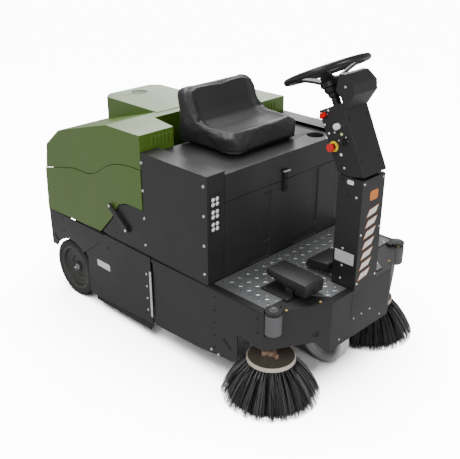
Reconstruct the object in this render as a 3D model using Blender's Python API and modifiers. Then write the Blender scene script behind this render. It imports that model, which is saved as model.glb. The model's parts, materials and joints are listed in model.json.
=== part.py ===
"""Ride-on sweeper: a three-wheeled machine with two side brushes, a main broom and a rear hopper.

Front is -Y, up is +Z, and the driver's right-hand side is -X. The floor is Z = 0.
"""

import math

import bmesh
import bpy
from mathutils import Matrix, Vector

# ---------------------------------------------------------------- driving dimensions (metres)
BODY_WIDTH = 0.960
SHEET = 0.004
GAP = 0.0005
PLAY = 0.003

BOX_FRONT_Y = -0.380
BOX_LENGTH = 0.425
DECK_LENGTH = 0.467
FRONT_FACE_WIDTH = 0.430
CORNER_SETBACK = 0.141
HOOD_LENGTH = 0.823
HUMP_SETBACK = 0.097
HUMP_HALF = 0.183

DECK_Z = 0.472
BOX_HEIGHT = 0.499
HOOD_RISE = 0.075
BUMPER_BOTTOM_Z = 0.292
BUMPER_TAB_Z = 0.232
SKIRT_Z = 0.105

STRIP_WIDTH = 0.102
SEAT_DECK_DROP = 0.016
COVER_SPLIT = 0.140
CUP_RADIUS = 0.045
CUP_DEPTH = 0.060

SEAT_WIDTH = 0.470
SEAT_FRONT = 0.085
SEAT_LENGTH = 0.392
PAN_HEIGHT = 0.008
CUSHION_HEIGHT = 0.088
BACK_RISE = 0.168
BOLSTER_WIDTH = 0.052
DISH_DEPTH = 0.016
DOOR_LENGTH = 0.518
RECESS_SIDE = 0.010
RECESS_DEPTH = 0.176

WHEEL_RADIUS = 0.157
TYRE_WIDTH = 0.068
REAR_WHEEL_SETBACK = 0.190
FRONT_WHEEL_RADIUS = 0.125
FRONT_TYRE_WIDTH = 0.070
FRONT_WHEEL_SETBACK = 0.192

BROOM_RADIUS = 0.148
BROOM_MARGIN = 0.160
BROOM_SETBACK = 0.145
BROOM_ARM_REACH = 0.300
BROOM_PIVOT_DROP = 0.172
FLOOR_CLEARANCE = 0.003

HOPPER_MARGIN = 0.130
HOPPER_HEIGHT = 0.290
HOPPER_BOTTOM = 0.090
HOPPER_SETBACK = 0.185
HANDLE_REACH = 0.036
FILTER_LENGTH = 0.280

BRUSH_INSET = 0.114
BRUSH_SETBACK = 0.196
BRUSH_RADIUS = 0.221
BRUSH_DISC_RADIUS = 0.108
BRUSH_DISC_Z = 0.195

COLUMN_WIDTH = 0.156
COLUMN_DEPTH = 0.124
COLUMN_OVERHANG = 0.009
COLUMN_HEIGHT = 0.500
HEAD_LENGTH = 0.285
HEAD_LEAN = math.radians(25.5)
TILT_LIMIT = math.radians(11)

PEDAL_WIDTH = 0.114
BRAKE_WIDTH = 0.158
PLATE_THICK = 0.004

LATCH_STANDOFF = 0.002
HOOD_WALL = 0.006
HOOD_SOLVER = "MANIFOLD"
ARM_DROP = 0.127
ARM_TUBE = 0.0145
MOTOR_DROP = 0.142

ROLLER_RADIUS = 0.037
CAP_RADIUS = 0.036

STEERING_RADIUS = 0.170
STEERING_TUBE = 0.0135
STEERING_REACH = 0.145
STEERING_OFFSET = 0.025

# ---------------------------------------------------------------- places worked out from them
HALF = BODY_WIDTH / 2
INNER = HALF - SHEET
BOX_REAR_Y = BOX_FRONT_Y + BOX_LENGTH
HOOD_FRONT_Y = BOX_REAR_Y + SHEET
REAR_Y = HOOD_FRONT_Y + HOOD_LENGTH
CORNER_Y = BOX_FRONT_Y - DECK_LENGTH + CORNER_SETBACK
NOSE_Y = BOX_FRONT_Y - DECK_LENGTH
BOX_Z = DECK_Z + BOX_HEIGHT
HOOD_Z = BOX_Z + HOOD_RISE
SPLIT_Z = BOX_Z - COVER_SPLIT
SEAT_DECK_Z = BOX_Z - SEAT_DECK_DROP
COVER_HALF = HALF - STRIP_WIDTH - GAP
CUP_X = COVER_HALF - CUP_RADIUS - 0.030
CUP_Y = BOX_FRONT_Y + CUP_RADIUS + 0.028
SEAT_FRONT_Y = BOX_FRONT_Y + SEAT_FRONT
SEAT_REAR_Y = SEAT_FRONT_Y + SEAT_LENGTH
BROOM_LENGTH = BODY_WIDTH - 2 * BROOM_MARGIN
BROOM_Y = BOX_REAR_Y + BROOM_SETBACK
BROOM_PIVOT_Y = BROOM_Y - BROOM_ARM_REACH
BROOM_PIVOT_Z = DECK_Z - BROOM_PIVOT_DROP
REAR_WHEEL_Y = REAR_Y - REAR_WHEEL_SETBACK
FRONT_WHEEL_Y = NOSE_Y + FRONT_WHEEL_SETBACK
BRUSH_X = HALF - BRUSH_INSET
BRUSH_Y = NOSE_Y + BRUSH_SETBACK
HOPPER_WIDTH = BODY_WIDTH - 2 * HOPPER_MARGIN
HOPPER_FRONT_Y = BROOM_Y + HOPPER_SETBACK
HOPPER_REAR_Y = REAR_Y - HANDLE_REACH - 0.010
HOPPER_TOP = HOPPER_BOTTOM + HOPPER_HEIGHT
COLUMN_HALF = COLUMN_WIDTH / 2
COLUMN_FRONT_Y = NOSE_Y - COLUMN_OVERHANG
COLUMN_REAR_Y = COLUMN_FRONT_Y + COLUMN_DEPTH
COLUMN_TOP = DECK_Z + COLUMN_HEIGHT
TILT_Y = COLUMN_FRONT_Y + COLUMN_DEPTH / 2
TILT_Z = COLUMN_TOP + 0.010
DOOR_HINGE_Y = BOX_REAR_Y - 0.035
LEAN_AXIS = Vector((0.0, math.sin(HEAD_LEAN), math.cos(HEAD_LEAN)))
BROOM_Z = BROOM_RADIUS + FLOOR_CLEARANCE
RAIL_TOP = DECK_Z - SHEET - 0.004
RAIL_BOTTOM = RAIL_TOP - 0.050
PLATE_TOP = DECK_Z + PLATE_THICK
ARM_PIVOT_Y = BOX_FRONT_Y - 0.060
ARM_Z = DECK_Z - ARM_DROP
MOTOR_TOP = DECK_Z - MOTOR_DROP
ROLLER_Z = DECK_Z - 0.054
REAR_LOW_Z = DECK_Z - 0.228

HUMP_LENGTH = HOOD_LENGTH - HUMP_SETBACK
HOOD_NOTCH_Z = DECK_Z + 0.437 * BOX_HEIGHT
HOOD_PART_Z = DECK_Z + 0.445 * BOX_HEIGHT
WAVE = (
    (0.000, 0.830),
    (0.097, 0.826),
    (0.182, 0.810),
    (0.249, 0.782),
    (0.316, 0.733),
    (0.401, 0.641),
    (0.456, 0.597),
    (0.522, 0.571),
    (0.608, 0.571),
    (0.680, 0.561),
)

PLANES = {
    "XY": Matrix.Identity(4),
    "XZ": Matrix.Rotation(math.radians(90), 4, "X"),
    "YZ": Matrix.Rotation(math.radians(90), 4, "Z") @ Matrix.Rotation(math.radians(90), 4, "X"),
}
NORMALS = {"XY": Vector((0, 0, 1)), "XZ": Vector((0, 1, 0)), "YZ": Vector((1, 0, 0))}


# ---------------------------------------------------------------- scene helpers
def clear_scene():
    for obj in list(bpy.data.objects):
        bpy.data.objects.remove(obj, do_unlink=True)


def new_collection(name):
    group = bpy.data.collections.new(name)
    bpy.context.scene.collection.children.link(group)
    return group


def new_material(name, colour, roughness, metallic):
    material = bpy.data.materials.new(name)
    material.use_nodes = True
    shader = material.node_tree.nodes["Principled BSDF"]
    shader.inputs["Base Color"].default_value = (*colour, 1.0)
    shader.inputs["Roughness"].default_value = roughness
    shader.inputs["Metallic"].default_value = metallic
    return material


clear_scene()
PARTS = new_collection("ride_on_sweeper")
CUTTERS = new_collection("cutters")

GREEN = new_material("green_moulding", (0.12, 0.17, 0.04), 0.42, 0.0)
BLACK = new_material("black_panel", (0.035, 0.036, 0.038), 0.45, 0.0)
FRAME = new_material("frame_paint", (0.03, 0.03, 0.032), 0.55, 0.3)
TREAD = new_material("tread_metal", (0.33, 0.34, 0.35), 0.38, 0.9)
RUBBER = new_material("tyre_rubber", (0.03, 0.03, 0.03), 0.85, 0.0)
GREY = new_material("grey_rubber", (0.30, 0.30, 0.31), 0.6, 0.0)
PALE = new_material("pale_tyre", (0.55, 0.55, 0.55), 0.55, 0.0)
STEEL = new_material("bright_steel", (0.60, 0.60, 0.62), 0.3, 1.0)
VINYL = new_material("seat_vinyl", (0.03, 0.03, 0.032), 0.55, 0.0)
BRISTLE = new_material("bristle", (0.02, 0.02, 0.022), 0.8, 0.0)
CREAM = new_material("brush_block", (0.35, 0.30, 0.24), 0.5, 0.0)
RED = new_material("control_red", (0.70, 0.02, 0.02), 0.35, 0.0)
WHITE = new_material("control_white", (0.80, 0.80, 0.80), 0.35, 0.0)
FILTER = new_material("filter_paper", (0.70, 0.66, 0.52), 0.9, 0.0)


# ---------------------------------------------------------------- modelling helpers
def add_object(name, mesh, material):
    obj = bpy.data.objects.new(name, mesh)
    PARTS.objects.link(obj)
    obj.data.materials.clear()
    obj.data.materials.append(material)
    return obj


def mesh_from(name, build):
    """A mesh built by build(bm), a function that fills a bmesh."""
    bm = bmesh.new()
    build(bm)
    bmesh.ops.recalc_face_normals(bm, faces=bm.faces)
    mesh = bpy.data.meshes.new(name)
    bm.to_mesh(mesh)
    bm.free()
    return mesh


def round_edges(obj, width, segments=2):
    """Rounds the sharp edges."""
    bevel = obj.modifiers.new("round", "BEVEL")
    bevel.width = width
    bevel.segments = segments
    bevel.limit_method = "ANGLE"
    bevel.angle_limit = math.radians(35)
    return obj


def smooth(obj, angle=40):
    obj.data.shade_smooth()
    obj.data.set_sharp_from_angle(angle=math.radians(angle))
    return obj


def box(name, low, high, material, bevel=0.0):
    """A block between two corners, with its origin at its middle."""
    low, high = Vector(low), Vector(high)
    size = high - low

    def build(bm):
        bmesh.ops.create_cube(bm, size=1.0)
        bmesh.ops.scale(bm, vec=size, verts=bm.verts)

    obj = add_object(name, mesh_from(name, build), material)
    obj.location = (low + high) / 2
    if bevel:
        round_edges(obj, bevel)
    return obj


def rod(name, start, end, radius, material, sides=24, end_radius=None):
    """A cylinder or cone from start to end."""
    start, end = Vector(start), Vector(end)
    along = end - start

    def build(bm):
        bmesh.ops.create_cone(
            bm,
            cap_ends=True,
            segments=sides,
            radius1=radius,
            radius2=radius if end_radius is None else end_radius,
            depth=along.length,
        )

    obj = add_object(name, mesh_from(name, build), material)
    obj.rotation_mode = "QUATERNION"
    obj.rotation_quaternion = along.to_track_quat("Z", "Y")
    obj.location = (start + end) / 2
    return smooth(obj)


def meshed(obj, material):
    """Turns a curve object into a welded mesh object of the same name and place."""
    graph = bpy.context.evaluated_depsgraph_get()
    graph.update()
    mesh = bpy.data.meshes.new_from_object(obj.evaluated_get(graph))
    bm = bmesh.new()
    bm.from_mesh(mesh)
    bmesh.ops.remove_doubles(bm, verts=bm.verts, dist=0.00002)
    bmesh.ops.recalc_face_normals(bm, faces=bm.faces)
    bm.to_mesh(mesh)
    bm.free()
    name, place = obj.name, obj.matrix_world.copy()
    bpy.data.objects.remove(obj, do_unlink=True)
    result = add_object(name, mesh, material)
    result.matrix_world = place
    return result


def slab(name, outline, plane, low, high, material, bevel=0.0):
    """A flat outline in the plane's two axes, extruded from low to high along the third."""
    curve = bpy.data.curves.new(name, "CURVE")
    curve.dimensions = "2D"
    curve.fill_mode = "BOTH"
    curve.extrude = (high - low) / 2
    spline = curve.splines.new("POLY")
    spline.points.add(len(outline) - 1)
    for point, (u, v) in zip(spline.points, outline):
        point.co = (u, v, 0.0, 1.0)
    spline.use_cyclic_u = True
    obj = bpy.data.objects.new(name, curve)
    PARTS.objects.link(obj)
    obj.matrix_world = Matrix.Translation(NORMALS[plane] * (low + high) / 2) @ PLANES[plane]
    result = meshed(obj, material)
    if bevel:
        round_edges(result, bevel)
    return result


def turned(name, profile, centre, axis, material, steps=40):
    """A profile of (radius, height) points, top to bottom down its outer side, turned about an axis."""

    closed = profile[0] == profile[-1]

    def build(bm):
        corners = profile[:-1] if closed else profile
        points = [bm.verts.new((radius, 0.0, height)) for radius, height in corners]
        if closed:
            points.append(points[0])
        for first, second in zip(points, points[1:]):
            bm.edges.new((first, second))

    obj = add_object(name, mesh_from(name, build), material)
    screw = obj.modifiers.new("turn", "SCREW")
    screw.axis = "Z"
    screw.steps = steps
    screw.render_steps = steps
    screw.use_merge_vertices = True
    screw.merge_threshold = 0.00005
    obj.rotation_mode = "QUATERNION"
    obj.rotation_quaternion = Vector(axis).to_track_quat("Z", "Y")
    obj.location = centre
    return obj


def ring_profile(outer, inner, half, edge):
    """A closed section for a ring with rounded outer edges."""
    return [
        (inner, half),
        (outer - edge, half),
        (outer, half - edge),
        (outer, edge - half),
        (outer - edge, -half),
        (inner, -half),
        (inner, half),
    ]


def as_helper(obj):
    for group in list(obj.users_collection):
        group.objects.unlink(obj)
    CUTTERS.objects.link(obj)
    obj.hide_render = True
    obj.display_type = "WIRE"
    return obj


def combine(obj, other, operation, solver):
    as_helper(other)
    boolean = obj.modifiers.new(operation.lower(), "BOOLEAN")
    boolean.operation = operation
    boolean.solver = solver
    boolean.object = other
    return obj


def cut(obj, *others, solver="EXACT"):
    for other in others:
        combine(obj, other, "DIFFERENCE", solver)
    return obj


def join(obj, *others, solver="EXACT"):
    for other in others:
        combine(obj, other, "UNION", solver)
    return obj


def pivot(name, place, *pieces):
    """An empty on a joint's axis, with the pieces that turn or slide on it as its children."""
    empty = bpy.data.objects.new(name, None)
    empty.location = place
    empty.empty_display_size = 0.05
    PARTS.objects.link(empty)
    bpy.context.view_layer.update()
    for piece in pieces:
        piece.parent = empty
        piece.matrix_parent_inverse = empty.matrix_world.inverted()
    return empty


def lean(point):
    """A point of the upper column, given with the column upright, turned back about the tilt pivot."""
    turn = Matrix.Rotation(-HEAD_LEAN, 4, "X")
    base = Vector((0.0, TILT_Y, TILT_Z))
    return base + turn @ (Vector(point) - base)


def lean_object(obj):
    """Leans an object that was made upright, about the tilt pivot."""
    base = Vector((0.0, TILT_Y, TILT_Z))
    turn = Matrix.Translation(base) @ Matrix.Rotation(-HEAD_LEAN, 4, "X") @ Matrix.Translation(-base)
    bpy.context.view_layer.update()
    obj.matrix_world = turn @ obj.matrix_world
    return obj


def mirrored(points):
    return [(-u, v) for u, v in reversed(points)]


# ---------------------------------------------------------------- chassis
def side_outline():
    """The lower side plate in Y and Z, with the wheel arch, the door opening and the brush notch."""
    door_rear = DOOR_HINGE_Y + DOOR_LENGTH
    arch = WHEEL_RADIUS + 0.012
    start = math.asin((REAR_LOW_Z - WHEEL_RADIUS) / arch)
    arch_points = []
    for step in range(9):
        angle = start + (math.pi * 0.72 - start) * step / 8
        arch_points.append((REAR_WHEEL_Y + arch * math.cos(angle), WHEEL_RADIUS + arch * math.sin(angle)))
    return [
        (CORNER_Y, BUMPER_BOTTOM_Z),
        (CORNER_Y, DECK_Z - SHEET),
        (REAR_Y, DECK_Z - 0.020),
        (REAR_Y, REAR_LOW_Z),
        *arch_points,
        (door_rear - 0.165, DECK_Z - 0.030),
        (DOOR_HINGE_Y - 0.012, DECK_Z - 0.030),
        (DOOR_HINGE_Y - 0.012, SKIRT_Z),
        (BOX_FRONT_Y + 0.060, SKIRT_Z + 0.018),
        (BRUSH_Y + 0.096, SKIRT_Z + 0.052),
        (BRUSH_Y + 0.096, BUMPER_BOTTOM_Z + 0.008),
        (BRUSH_Y + 0.016, BUMPER_BOTTOM_Z + 0.012),
        (BRUSH_Y + 0.016, BUMPER_BOTTOM_Z),
    ]


def side_panels():
    for side, name in ((-1, "side_panel_r"), (1, "side_panel_l")):
        low, high = sorted((side * HALF, side * INNER))
        slab(name, side_outline(), "YZ", low, high, FRAME)


def ladder_frame():
    """Two rails and three cross members, welded."""
    rail_x = HALF - 0.100
    front = BOX_FRONT_Y - 0.190
    rails = [
        box(
            f"rail_{side}",
            (side * rail_x - 0.02, front, RAIL_BOTTOM),
            (side * rail_x + 0.02, REAR_Y - 0.02, RAIL_TOP),
            FRAME,
        )
        for side in (-1, 1)
    ]
    places = (front + 0.02, BROOM_PIVOT_Y - 0.02, HOPPER_FRONT_Y - 0.02)
    bars = [
        box(f"bar_{index}", (-rail_x, y, RAIL_BOTTOM + 0.006), (rail_x, y + 0.04, RAIL_TOP - 0.006), FRAME)
        for index, y in enumerate(places)
    ]
    rails[0].name = "ladder_frame"
    join(rails[0], rails[1], *bars)


def front_bumper():
    """The faceted nose plate: an open band round the front, folded from sheet."""
    half_nose = FRONT_FACE_WIDTH / 2
    outer = [(-HALF, CORNER_Y), (-half_nose, NOSE_Y), (half_nose, NOSE_Y), (HALF, CORNER_Y)]
    inner = [
        (HALF - SHEET, CORNER_Y),
        (half_nose - 0.001, NOSE_Y + SHEET),
        (0.001 - half_nose, NOSE_Y + SHEET),
        (SHEET - HALF, CORNER_Y),
    ]
    band = slab("front_bumper", outer + inner, "XY", BUMPER_TAB_Z, DECK_Z - SHEET, FRAME)
    margin = 0.06
    side_cut = [
        (-HALF - 0.01, BUMPER_TAB_Z - 0.01),
        (-half_nose - 0.005, BUMPER_TAB_Z - 0.01),
        (-half_nose - margin, BUMPER_BOTTOM_Z),
        (-HALF - 0.01, BUMPER_BOTTOM_Z),
    ]
    low, high = NOSE_Y - 0.01, CORNER_Y + 0.01
    cut(
        band,
        slab("nose_cut_r", side_cut, "XZ", low, high, FRAME),
        slab("nose_cut_l", mirrored(side_cut), "XZ", low, high, FRAME),
    )
    for side in (-1, 1):
        spot = corner_roller_place(side)
        cut(band, rod(f"roller_slot_{side}", (*spot, ROLLER_Z - 0.056), (*spot, DECK_Z + 0.02), ROLLER_RADIUS + PLAY, FRAME))


def corner_roller_place(side):
    return (side * (HALF - ROLLER_RADIUS), CORNER_Y - 0.0185)


def deck_outline(inset, rear_y):
    half_nose = FRONT_FACE_WIDTH / 2
    return [
        (-HALF + inset, rear_y),
        (-HALF + inset, CORNER_Y),
        (-half_nose + inset / 2, NOSE_Y + inset),
        (half_nose - inset / 2, NOSE_Y + inset),
        (HALF - inset, CORNER_Y),
        (HALF - inset, rear_y),
    ]


def deck_pan():
    """The sheet that closes the chassis, under the platform and the seat box, up to the hopper."""
    pan = slab("deck_pan", deck_outline(0.0, HOPPER_FRONT_Y - 0.03), "XY", DECK_Z - SHEET + GAP, DECK_Z, FRAME)
    for side in (-1, 1):
        spot = corner_roller_place(side)
        cut(pan, rod(f"deck_bite_{side}", (*spot, DECK_Z - 0.02), (*spot, DECK_Z + 0.02), ROLLER_RADIUS + PLAY, FRAME))


def tread_plate():
    rim = 0.030
    rear = BOX_FRONT_Y - 0.006
    plate_y = corner_roller_place(1)[1] + CAP_RADIUS + 0.002
    outline = [
        (-HALF + rim, rear),
        (-HALF + rim, plate_y),
        (-FRONT_FACE_WIDTH / 2 - 0.062, plate_y),
        (-FRONT_FACE_WIDTH / 2 + 0.030, NOSE_Y + rim),
    ]
    column = COLUMN_HALF + PLAY
    notch = [
        (-column, NOSE_Y + rim),
        (-column, COLUMN_REAR_Y + PLAY),
    ]
    points = outline + notch + mirrored(outline + notch)
    slab("tread_plate", points, "XY", DECK_Z + GAP, DECK_Z + 0.004, TREAD)


def corner_caps():
    """Rounded plates over the corner rollers, each with the roller's pin under it."""
    for side, name in ((-1, "corner_cap_r"), (1, "corner_cap_l")):
        x, y = corner_roller_place(side)
        cap = rod(name, (x, y, DECK_Z + GAP), (x, y, DECK_Z + 0.012), CAP_RADIUS, BLACK, 32)
        tail = box(
            f"{name}_tail",
            (min(x, x - side * 0.05), y, DECK_Z + GAP),
            (max(x, x - side * 0.05), y + 0.028, DECK_Z + 0.012),
            BLACK,
        )
        pin = rod(f"{name}_pin", (x, y, ROLLER_Z - 0.052), (x, y, DECK_Z + 0.006), 0.008, BLACK, 16)
        join(cap, tail, pin)


def corner_rollers():
    for side, name in ((-1, "corner_roller_r"), (1, "corner_roller_l")):
        x, y = corner_roller_place(side)
        centre = (x, y, ROLLER_Z)
        roller = turned(name, ring_profile(ROLLER_RADIUS, 0.0095, 0.046, 0.004), centre, (0, 0, 1), GREY, 32)
        pivot(f"{name}_axis", centre, roller)


def rear_panel():
    """The plate across the rear, open for the hopper."""
    low, top = REAR_LOW_Z, DECK_Z - 0.024
    half_opening = HOPPER_WIDTH / 2 + PLAY
    outline = [
        (-INNER + GAP, low),
        (-INNER + GAP, top),
        (INNER - GAP, top),
        (INNER - GAP, low),
        (half_opening, low),
        (half_opening, HOPPER_TOP + PLAY),
        (-half_opening, HOPPER_TOP + PLAY),
        (-half_opening, low),
    ]
    slab("rear_panel", outline, "XZ", REAR_Y - SHEET, REAR_Y, FRAME)


def axle_brackets():
    """A plate hung from each rail, with the stub axle of a rear wheel."""
    inner_x = HALF - TYRE_WIDTH - 0.022
    for side, name in ((-1, "axle_bracket_r"), (1, "axle_bracket_l")):
        low, high = sorted((side * inner_x, side * (inner_x - 0.010)))
        outline = [
            (REAR_WHEEL_Y - 0.05, WHEEL_RADIUS - 0.047),
            (REAR_WHEEL_Y - 0.09, RAIL_BOTTOM - GAP),
            (REAR_WHEEL_Y + 0.09, RAIL_BOTTOM - GAP),
            (REAR_WHEEL_Y + 0.05, WHEEL_RADIUS - 0.047),
        ]
        plate = slab(name, outline, "YZ", low, high, FRAME)
        axle = rod(
            f"{name}_axle",
            (side * (inner_x - 0.005), REAR_WHEEL_Y, WHEEL_RADIUS),
            (side * (HALF - 0.020), REAR_WHEEL_Y, WHEEL_RADIUS),
            0.0115,
            FRAME,
        )
        join(plate, axle)


# ---------------------------------------------------------------- seat box
def box_side_outline():
    """The upper side panel in Y and Z, running back under the hood's raised edge."""
    return [
        (BOX_FRONT_Y, DECK_Z + GAP),
        (BOX_FRONT_Y, BOX_Z),
        (BOX_REAR_Y, BOX_Z),
        (BOX_REAR_Y, HOOD_NOTCH_Z - GAP),
        (BOX_REAR_Y + 0.125, HOOD_NOTCH_Z - 0.004),
        (BOX_REAR_Y + 0.183, HOOD_NOTCH_Z - 0.026),
        (BOX_REAR_Y + 0.246, HOOD_NOTCH_Z - 0.115),
        (BOX_REAR_Y + 0.335, DECK_Z + 0.008),
        (BOX_REAR_Y + 0.300, DECK_Z + GAP),
    ]


def seat_box_sides():
    """The corner panels of the seat box: a side with a front flange and a strip along the top."""
    for side, name in ((-1, "seat_box_r"), (1, "seat_box_l")):
        edge = side * (HALF - STRIP_WIDTH)
        low, high = sorted((side * HALF, edge))
        panel = slab(name, box_side_outline(), "YZ", low, high, BLACK)
        low, high = sorted((side * INNER, edge - side * 0.01))
        inside = box(
            f"{name}_inside", (low, BOX_FRONT_Y + SHEET, DECK_Z - 0.02), (high, REAR_Y, BOX_Z - SHEET), BLACK
        )
        cut(panel, inside)


def seat_box_front():
    """The lower front cover, between the corner panels."""
    box(
        "seat_box_front",
        (-COVER_HALF, BOX_FRONT_Y - 0.002, DECK_Z + GAP),
        (COVER_HALF, BOX_FRONT_Y + 0.006, SPLIT_Z - GAP),
        BLACK,
        0.0015,
    )


def seat_deck():
    """The lid of the seat box, with a front skirt and a cup holder, hinged at the rear."""
    thick = 0.008
    top = SEAT_DECK_Z
    rear = BOX_REAR_Y - GAP
    deck = box("seat_deck", (-COVER_HALF, BOX_FRONT_Y - 0.002, top - thick), (COVER_HALF, rear, top), BLACK)
    skirt = box(
        "deck_skirt",
        (-COVER_HALF, BOX_FRONT_Y - 0.002, SPLIT_Z + GAP),
        (COVER_HALF, BOX_FRONT_Y + 0.006, top),
        BLACK,
    )
    cup = rod("cup_outside", (CUP_X, CUP_Y, top - CUP_DEPTH), (CUP_X, CUP_Y, top - 0.002), CUP_RADIUS, BLACK, 32)
    hollow = rod(
        "cup_hollow",
        (CUP_X, CUP_Y, top - CUP_DEPTH + SHEET),
        (CUP_X, CUP_Y, top + 0.01),
        CUP_RADIUS - SHEET,
        BLACK,
        32,
    )
    join(deck, skirt, cup)
    cut(deck, hollow)
    pivot("seat_deck_axis", (0.0, rear, top - thick / 2), deck)


def deck_latch():
    """The rubber strap that holds the seat deck down, hung from a pin on the deck's skirt."""
    low = SPLIT_Z - 0.055
    pin_z = SPLIT_Z + 0.045
    front = BOX_FRONT_Y - 0.002 - LATCH_STANDOFF
    middle = front - 0.0035
    strap = box("deck_latch", (-0.011, front - 0.007, low), (0.011, front, pin_z + 0.003), RUBBER)
    pull = rod("latch_pull", (-0.02, middle, pin_z), (0.02, middle, pin_z), 0.004, RUBBER, 12)
    join(strap, pull)
    pivot("deck_latch_axis", (0.0, middle, pin_z), strap)


def seat_side(front, rear, low, top, crest):
    """The seat's outline from the side: front, top of the sides, backrest and rear."""
    return [
        (front + 0.010, low),
        (front, low + 0.012),
        (front + 0.016, top - 0.014),
        (front + 0.034, top - 0.002),
        (front + 0.070, top),
        (rear - 0.180, top),
        (rear - 0.140, top + 0.014),
        (rear - 0.108, top + 0.050),
        (rear - 0.086, top + 0.104),
        (rear - 0.062, crest - 0.014),
        (rear - 0.046, crest),
        (rear - 0.020, crest),
        (rear - 0.004, crest - 0.016),
        (rear, low + 0.060),
        (rear - 0.025, low),
    ]


def seat_dish(front, rear, top, crest):
    """What is taken out between the sides, so that the cushion and the backrest lie lower than they do."""
    lift = 0.03
    return [
        (front + 0.050, top + lift),
        (front + 0.062, top - 0.001),
        (front + 0.100, top - DISH_DEPTH),
        (rear - 0.170, top - DISH_DEPTH),
        (rear - 0.126, top + 0.004),
        (rear - 0.094, top + 0.044),
        (rear - 0.072, top + 0.100),
        (rear - 0.058, crest - 0.020),
        (rear - 0.070, crest - 0.010),
        (rear - 0.120, crest - 0.010),
    ]


def corner_cut(edge_u, edge_v, radius):
    """The waste outside a rounded corner at (edge_u, edge_v); the part lies on its +u, +v side."""
    reach = 0.02
    return [
        (edge_u - reach, edge_v - reach),
        (edge_u + radius, edge_v - reach),
        (edge_u + radius, edge_v),
        (edge_u + radius * 0.50, edge_v + radius * 0.134),
        (edge_u + radius * 0.134, edge_v + radius * 0.50),
        (edge_u, edge_v + radius),
        (edge_u - reach, edge_v + radius),
    ]


def seat():
    """A pan on the deck and a bucket whose cushion, sides and backrest are one moulding."""
    half = SEAT_WIDTH / 2
    base = SEAT_DECK_Z + GAP
    pan_top = base + PAN_HEIGHT
    pan = box(
        "seat_pan",
        (-half + 0.05, SEAT_FRONT_Y + 0.045, base),
        (half - 0.05, SEAT_REAR_Y - 0.045, pan_top),
        BLACK,
        0.002,
    )
    low = pan_top + GAP
    top = low + CUSHION_HEIGHT
    crest = top + BACK_RISE
    outline = seat_side(SEAT_FRONT_Y, SEAT_REAR_Y, low, top, crest)
    bucket = slab("seat_bucket", outline, "YZ", -half, half, VINYL)
    dish = seat_dish(SEAT_FRONT_Y, SEAT_REAR_Y, top, crest)
    inner = half - BOLSTER_WIDTH
    front_corner = corner_cut(-half, SEAT_FRONT_Y, 0.075)
    rear_corner = [(u, SEAT_REAR_Y + SEAT_FRONT_Y - v) for u, v in corner_cut(-half, SEAT_FRONT_Y, 0.030)]
    top_corner = [(u, crest + SEAT_FRONT_Y - v) for u, v in corner_cut(-half, SEAT_FRONT_Y, 0.060)]
    front, rear = SEAT_FRONT_Y - 0.02, SEAT_REAR_Y + 0.02
    for side, shape in (("r", list), ("l", mirrored)):
        cut(
            bucket,
            slab(f"front_corner_{side}", shape(front_corner), "XY", low - 0.02, top + 0.05, VINYL),
            slab(f"rear_corner_{side}", shape(rear_corner), "XY", low - 0.02, crest + 0.02, VINYL),
            slab(f"top_corner_{side}", shape(top_corner), "XZ", front, rear, VINYL),
        )
    cut(bucket, slab("seat_dish", dish, "YZ", -inner, inner, VINYL))
    pivot("seat_slide", (0.0, (SEAT_FRONT_Y + SEAT_REAR_Y) / 2, base), pan, bucket)


def battery_pack():
    low = DECK_Z + GAP
    half = COVER_HALF - 0.077
    depth = BOX_LENGTH - 0.145
    front = BOX_FRONT_Y + 0.050
    box("battery_pack", (-half, front, low), (half, front + depth, low + 0.260), BLACK, 0.004)


# ---------------------------------------------------------------- hood
def wave(shift):
    """The parting line between the two hoods in Y and Z, front to rear."""
    points = [(HOOD_FRONT_Y + along * HOOD_LENGTH, DECK_Z + up * BOX_HEIGHT + shift) for along, up in WAVE]
    return [*points, (REAR_Y - 0.014, HOOD_PART_Z - 0.002 + shift)]


def lower_hood():
    """The fixed green shroud: two sides and the rear, in one moulding."""
    bottom = [
        (REAR_Y, DECK_Z - 0.018),
        (BOX_REAR_Y + 0.350, DECK_Z + 0.002),
        (BOX_REAR_Y + 0.249, HOOD_NOTCH_Z - 0.112),
        (BOX_REAR_Y + 0.185, HOOD_NOTCH_Z - 0.022),
        (BOX_REAR_Y + 0.126, HOOD_NOTCH_Z),
        (HOOD_FRONT_Y, HOOD_NOTCH_Z + 0.002),
    ]
    outline = wave(0.0) + bottom
    hood = slab("lower_hood", outline, "YZ", -HALF - 0.003, HALF + 0.003, GREEN)
    inside = slab(
        "lower_hood_inside",
        [
            (HOOD_FRONT_Y - 0.1, DECK_Z - 0.1),
            (HOOD_FRONT_Y - 0.1, HOOD_Z),
            (REAR_Y - 0.022, HOOD_Z),
            (REAR_Y - HOOD_WALL, DECK_Z - 0.1),
        ],
        "YZ",
        -HALF + 0.003,
        HALF - 0.003,
        GREEN,
    )
    cut(hood, inside)


def hood_profile(inset):
    """The upper hood's outline in Y and Z; inset draws it inwards for the hollow."""
    top = HOOD_Z - inset
    rear = REAR_Y - 0.018
    return [
        (HOOD_FRONT_Y + inset, top),
        (HOOD_FRONT_Y + 0.245, top - 0.003),
        (rear - 0.150 - inset * 0.4, top - 0.119),
        (rear - 0.026 - inset, top - 0.218),
        (rear - inset, HOOD_PART_Z - (0.10 if inset else 0.0)),
    ]


def hump_outline(inset):
    half = HUMP_HALF - inset
    rear = HOOD_FRONT_Y + HUMP_LENGTH - inset
    return [
        (-half, HOOD_FRONT_Y + 0.230),
        (-half, rear - 0.090),
        (-half + 0.092, rear),
        (half - 0.092, rear),
        (half, rear - 0.090),
        (half, HOOD_FRONT_Y + 0.230),
    ]


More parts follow.
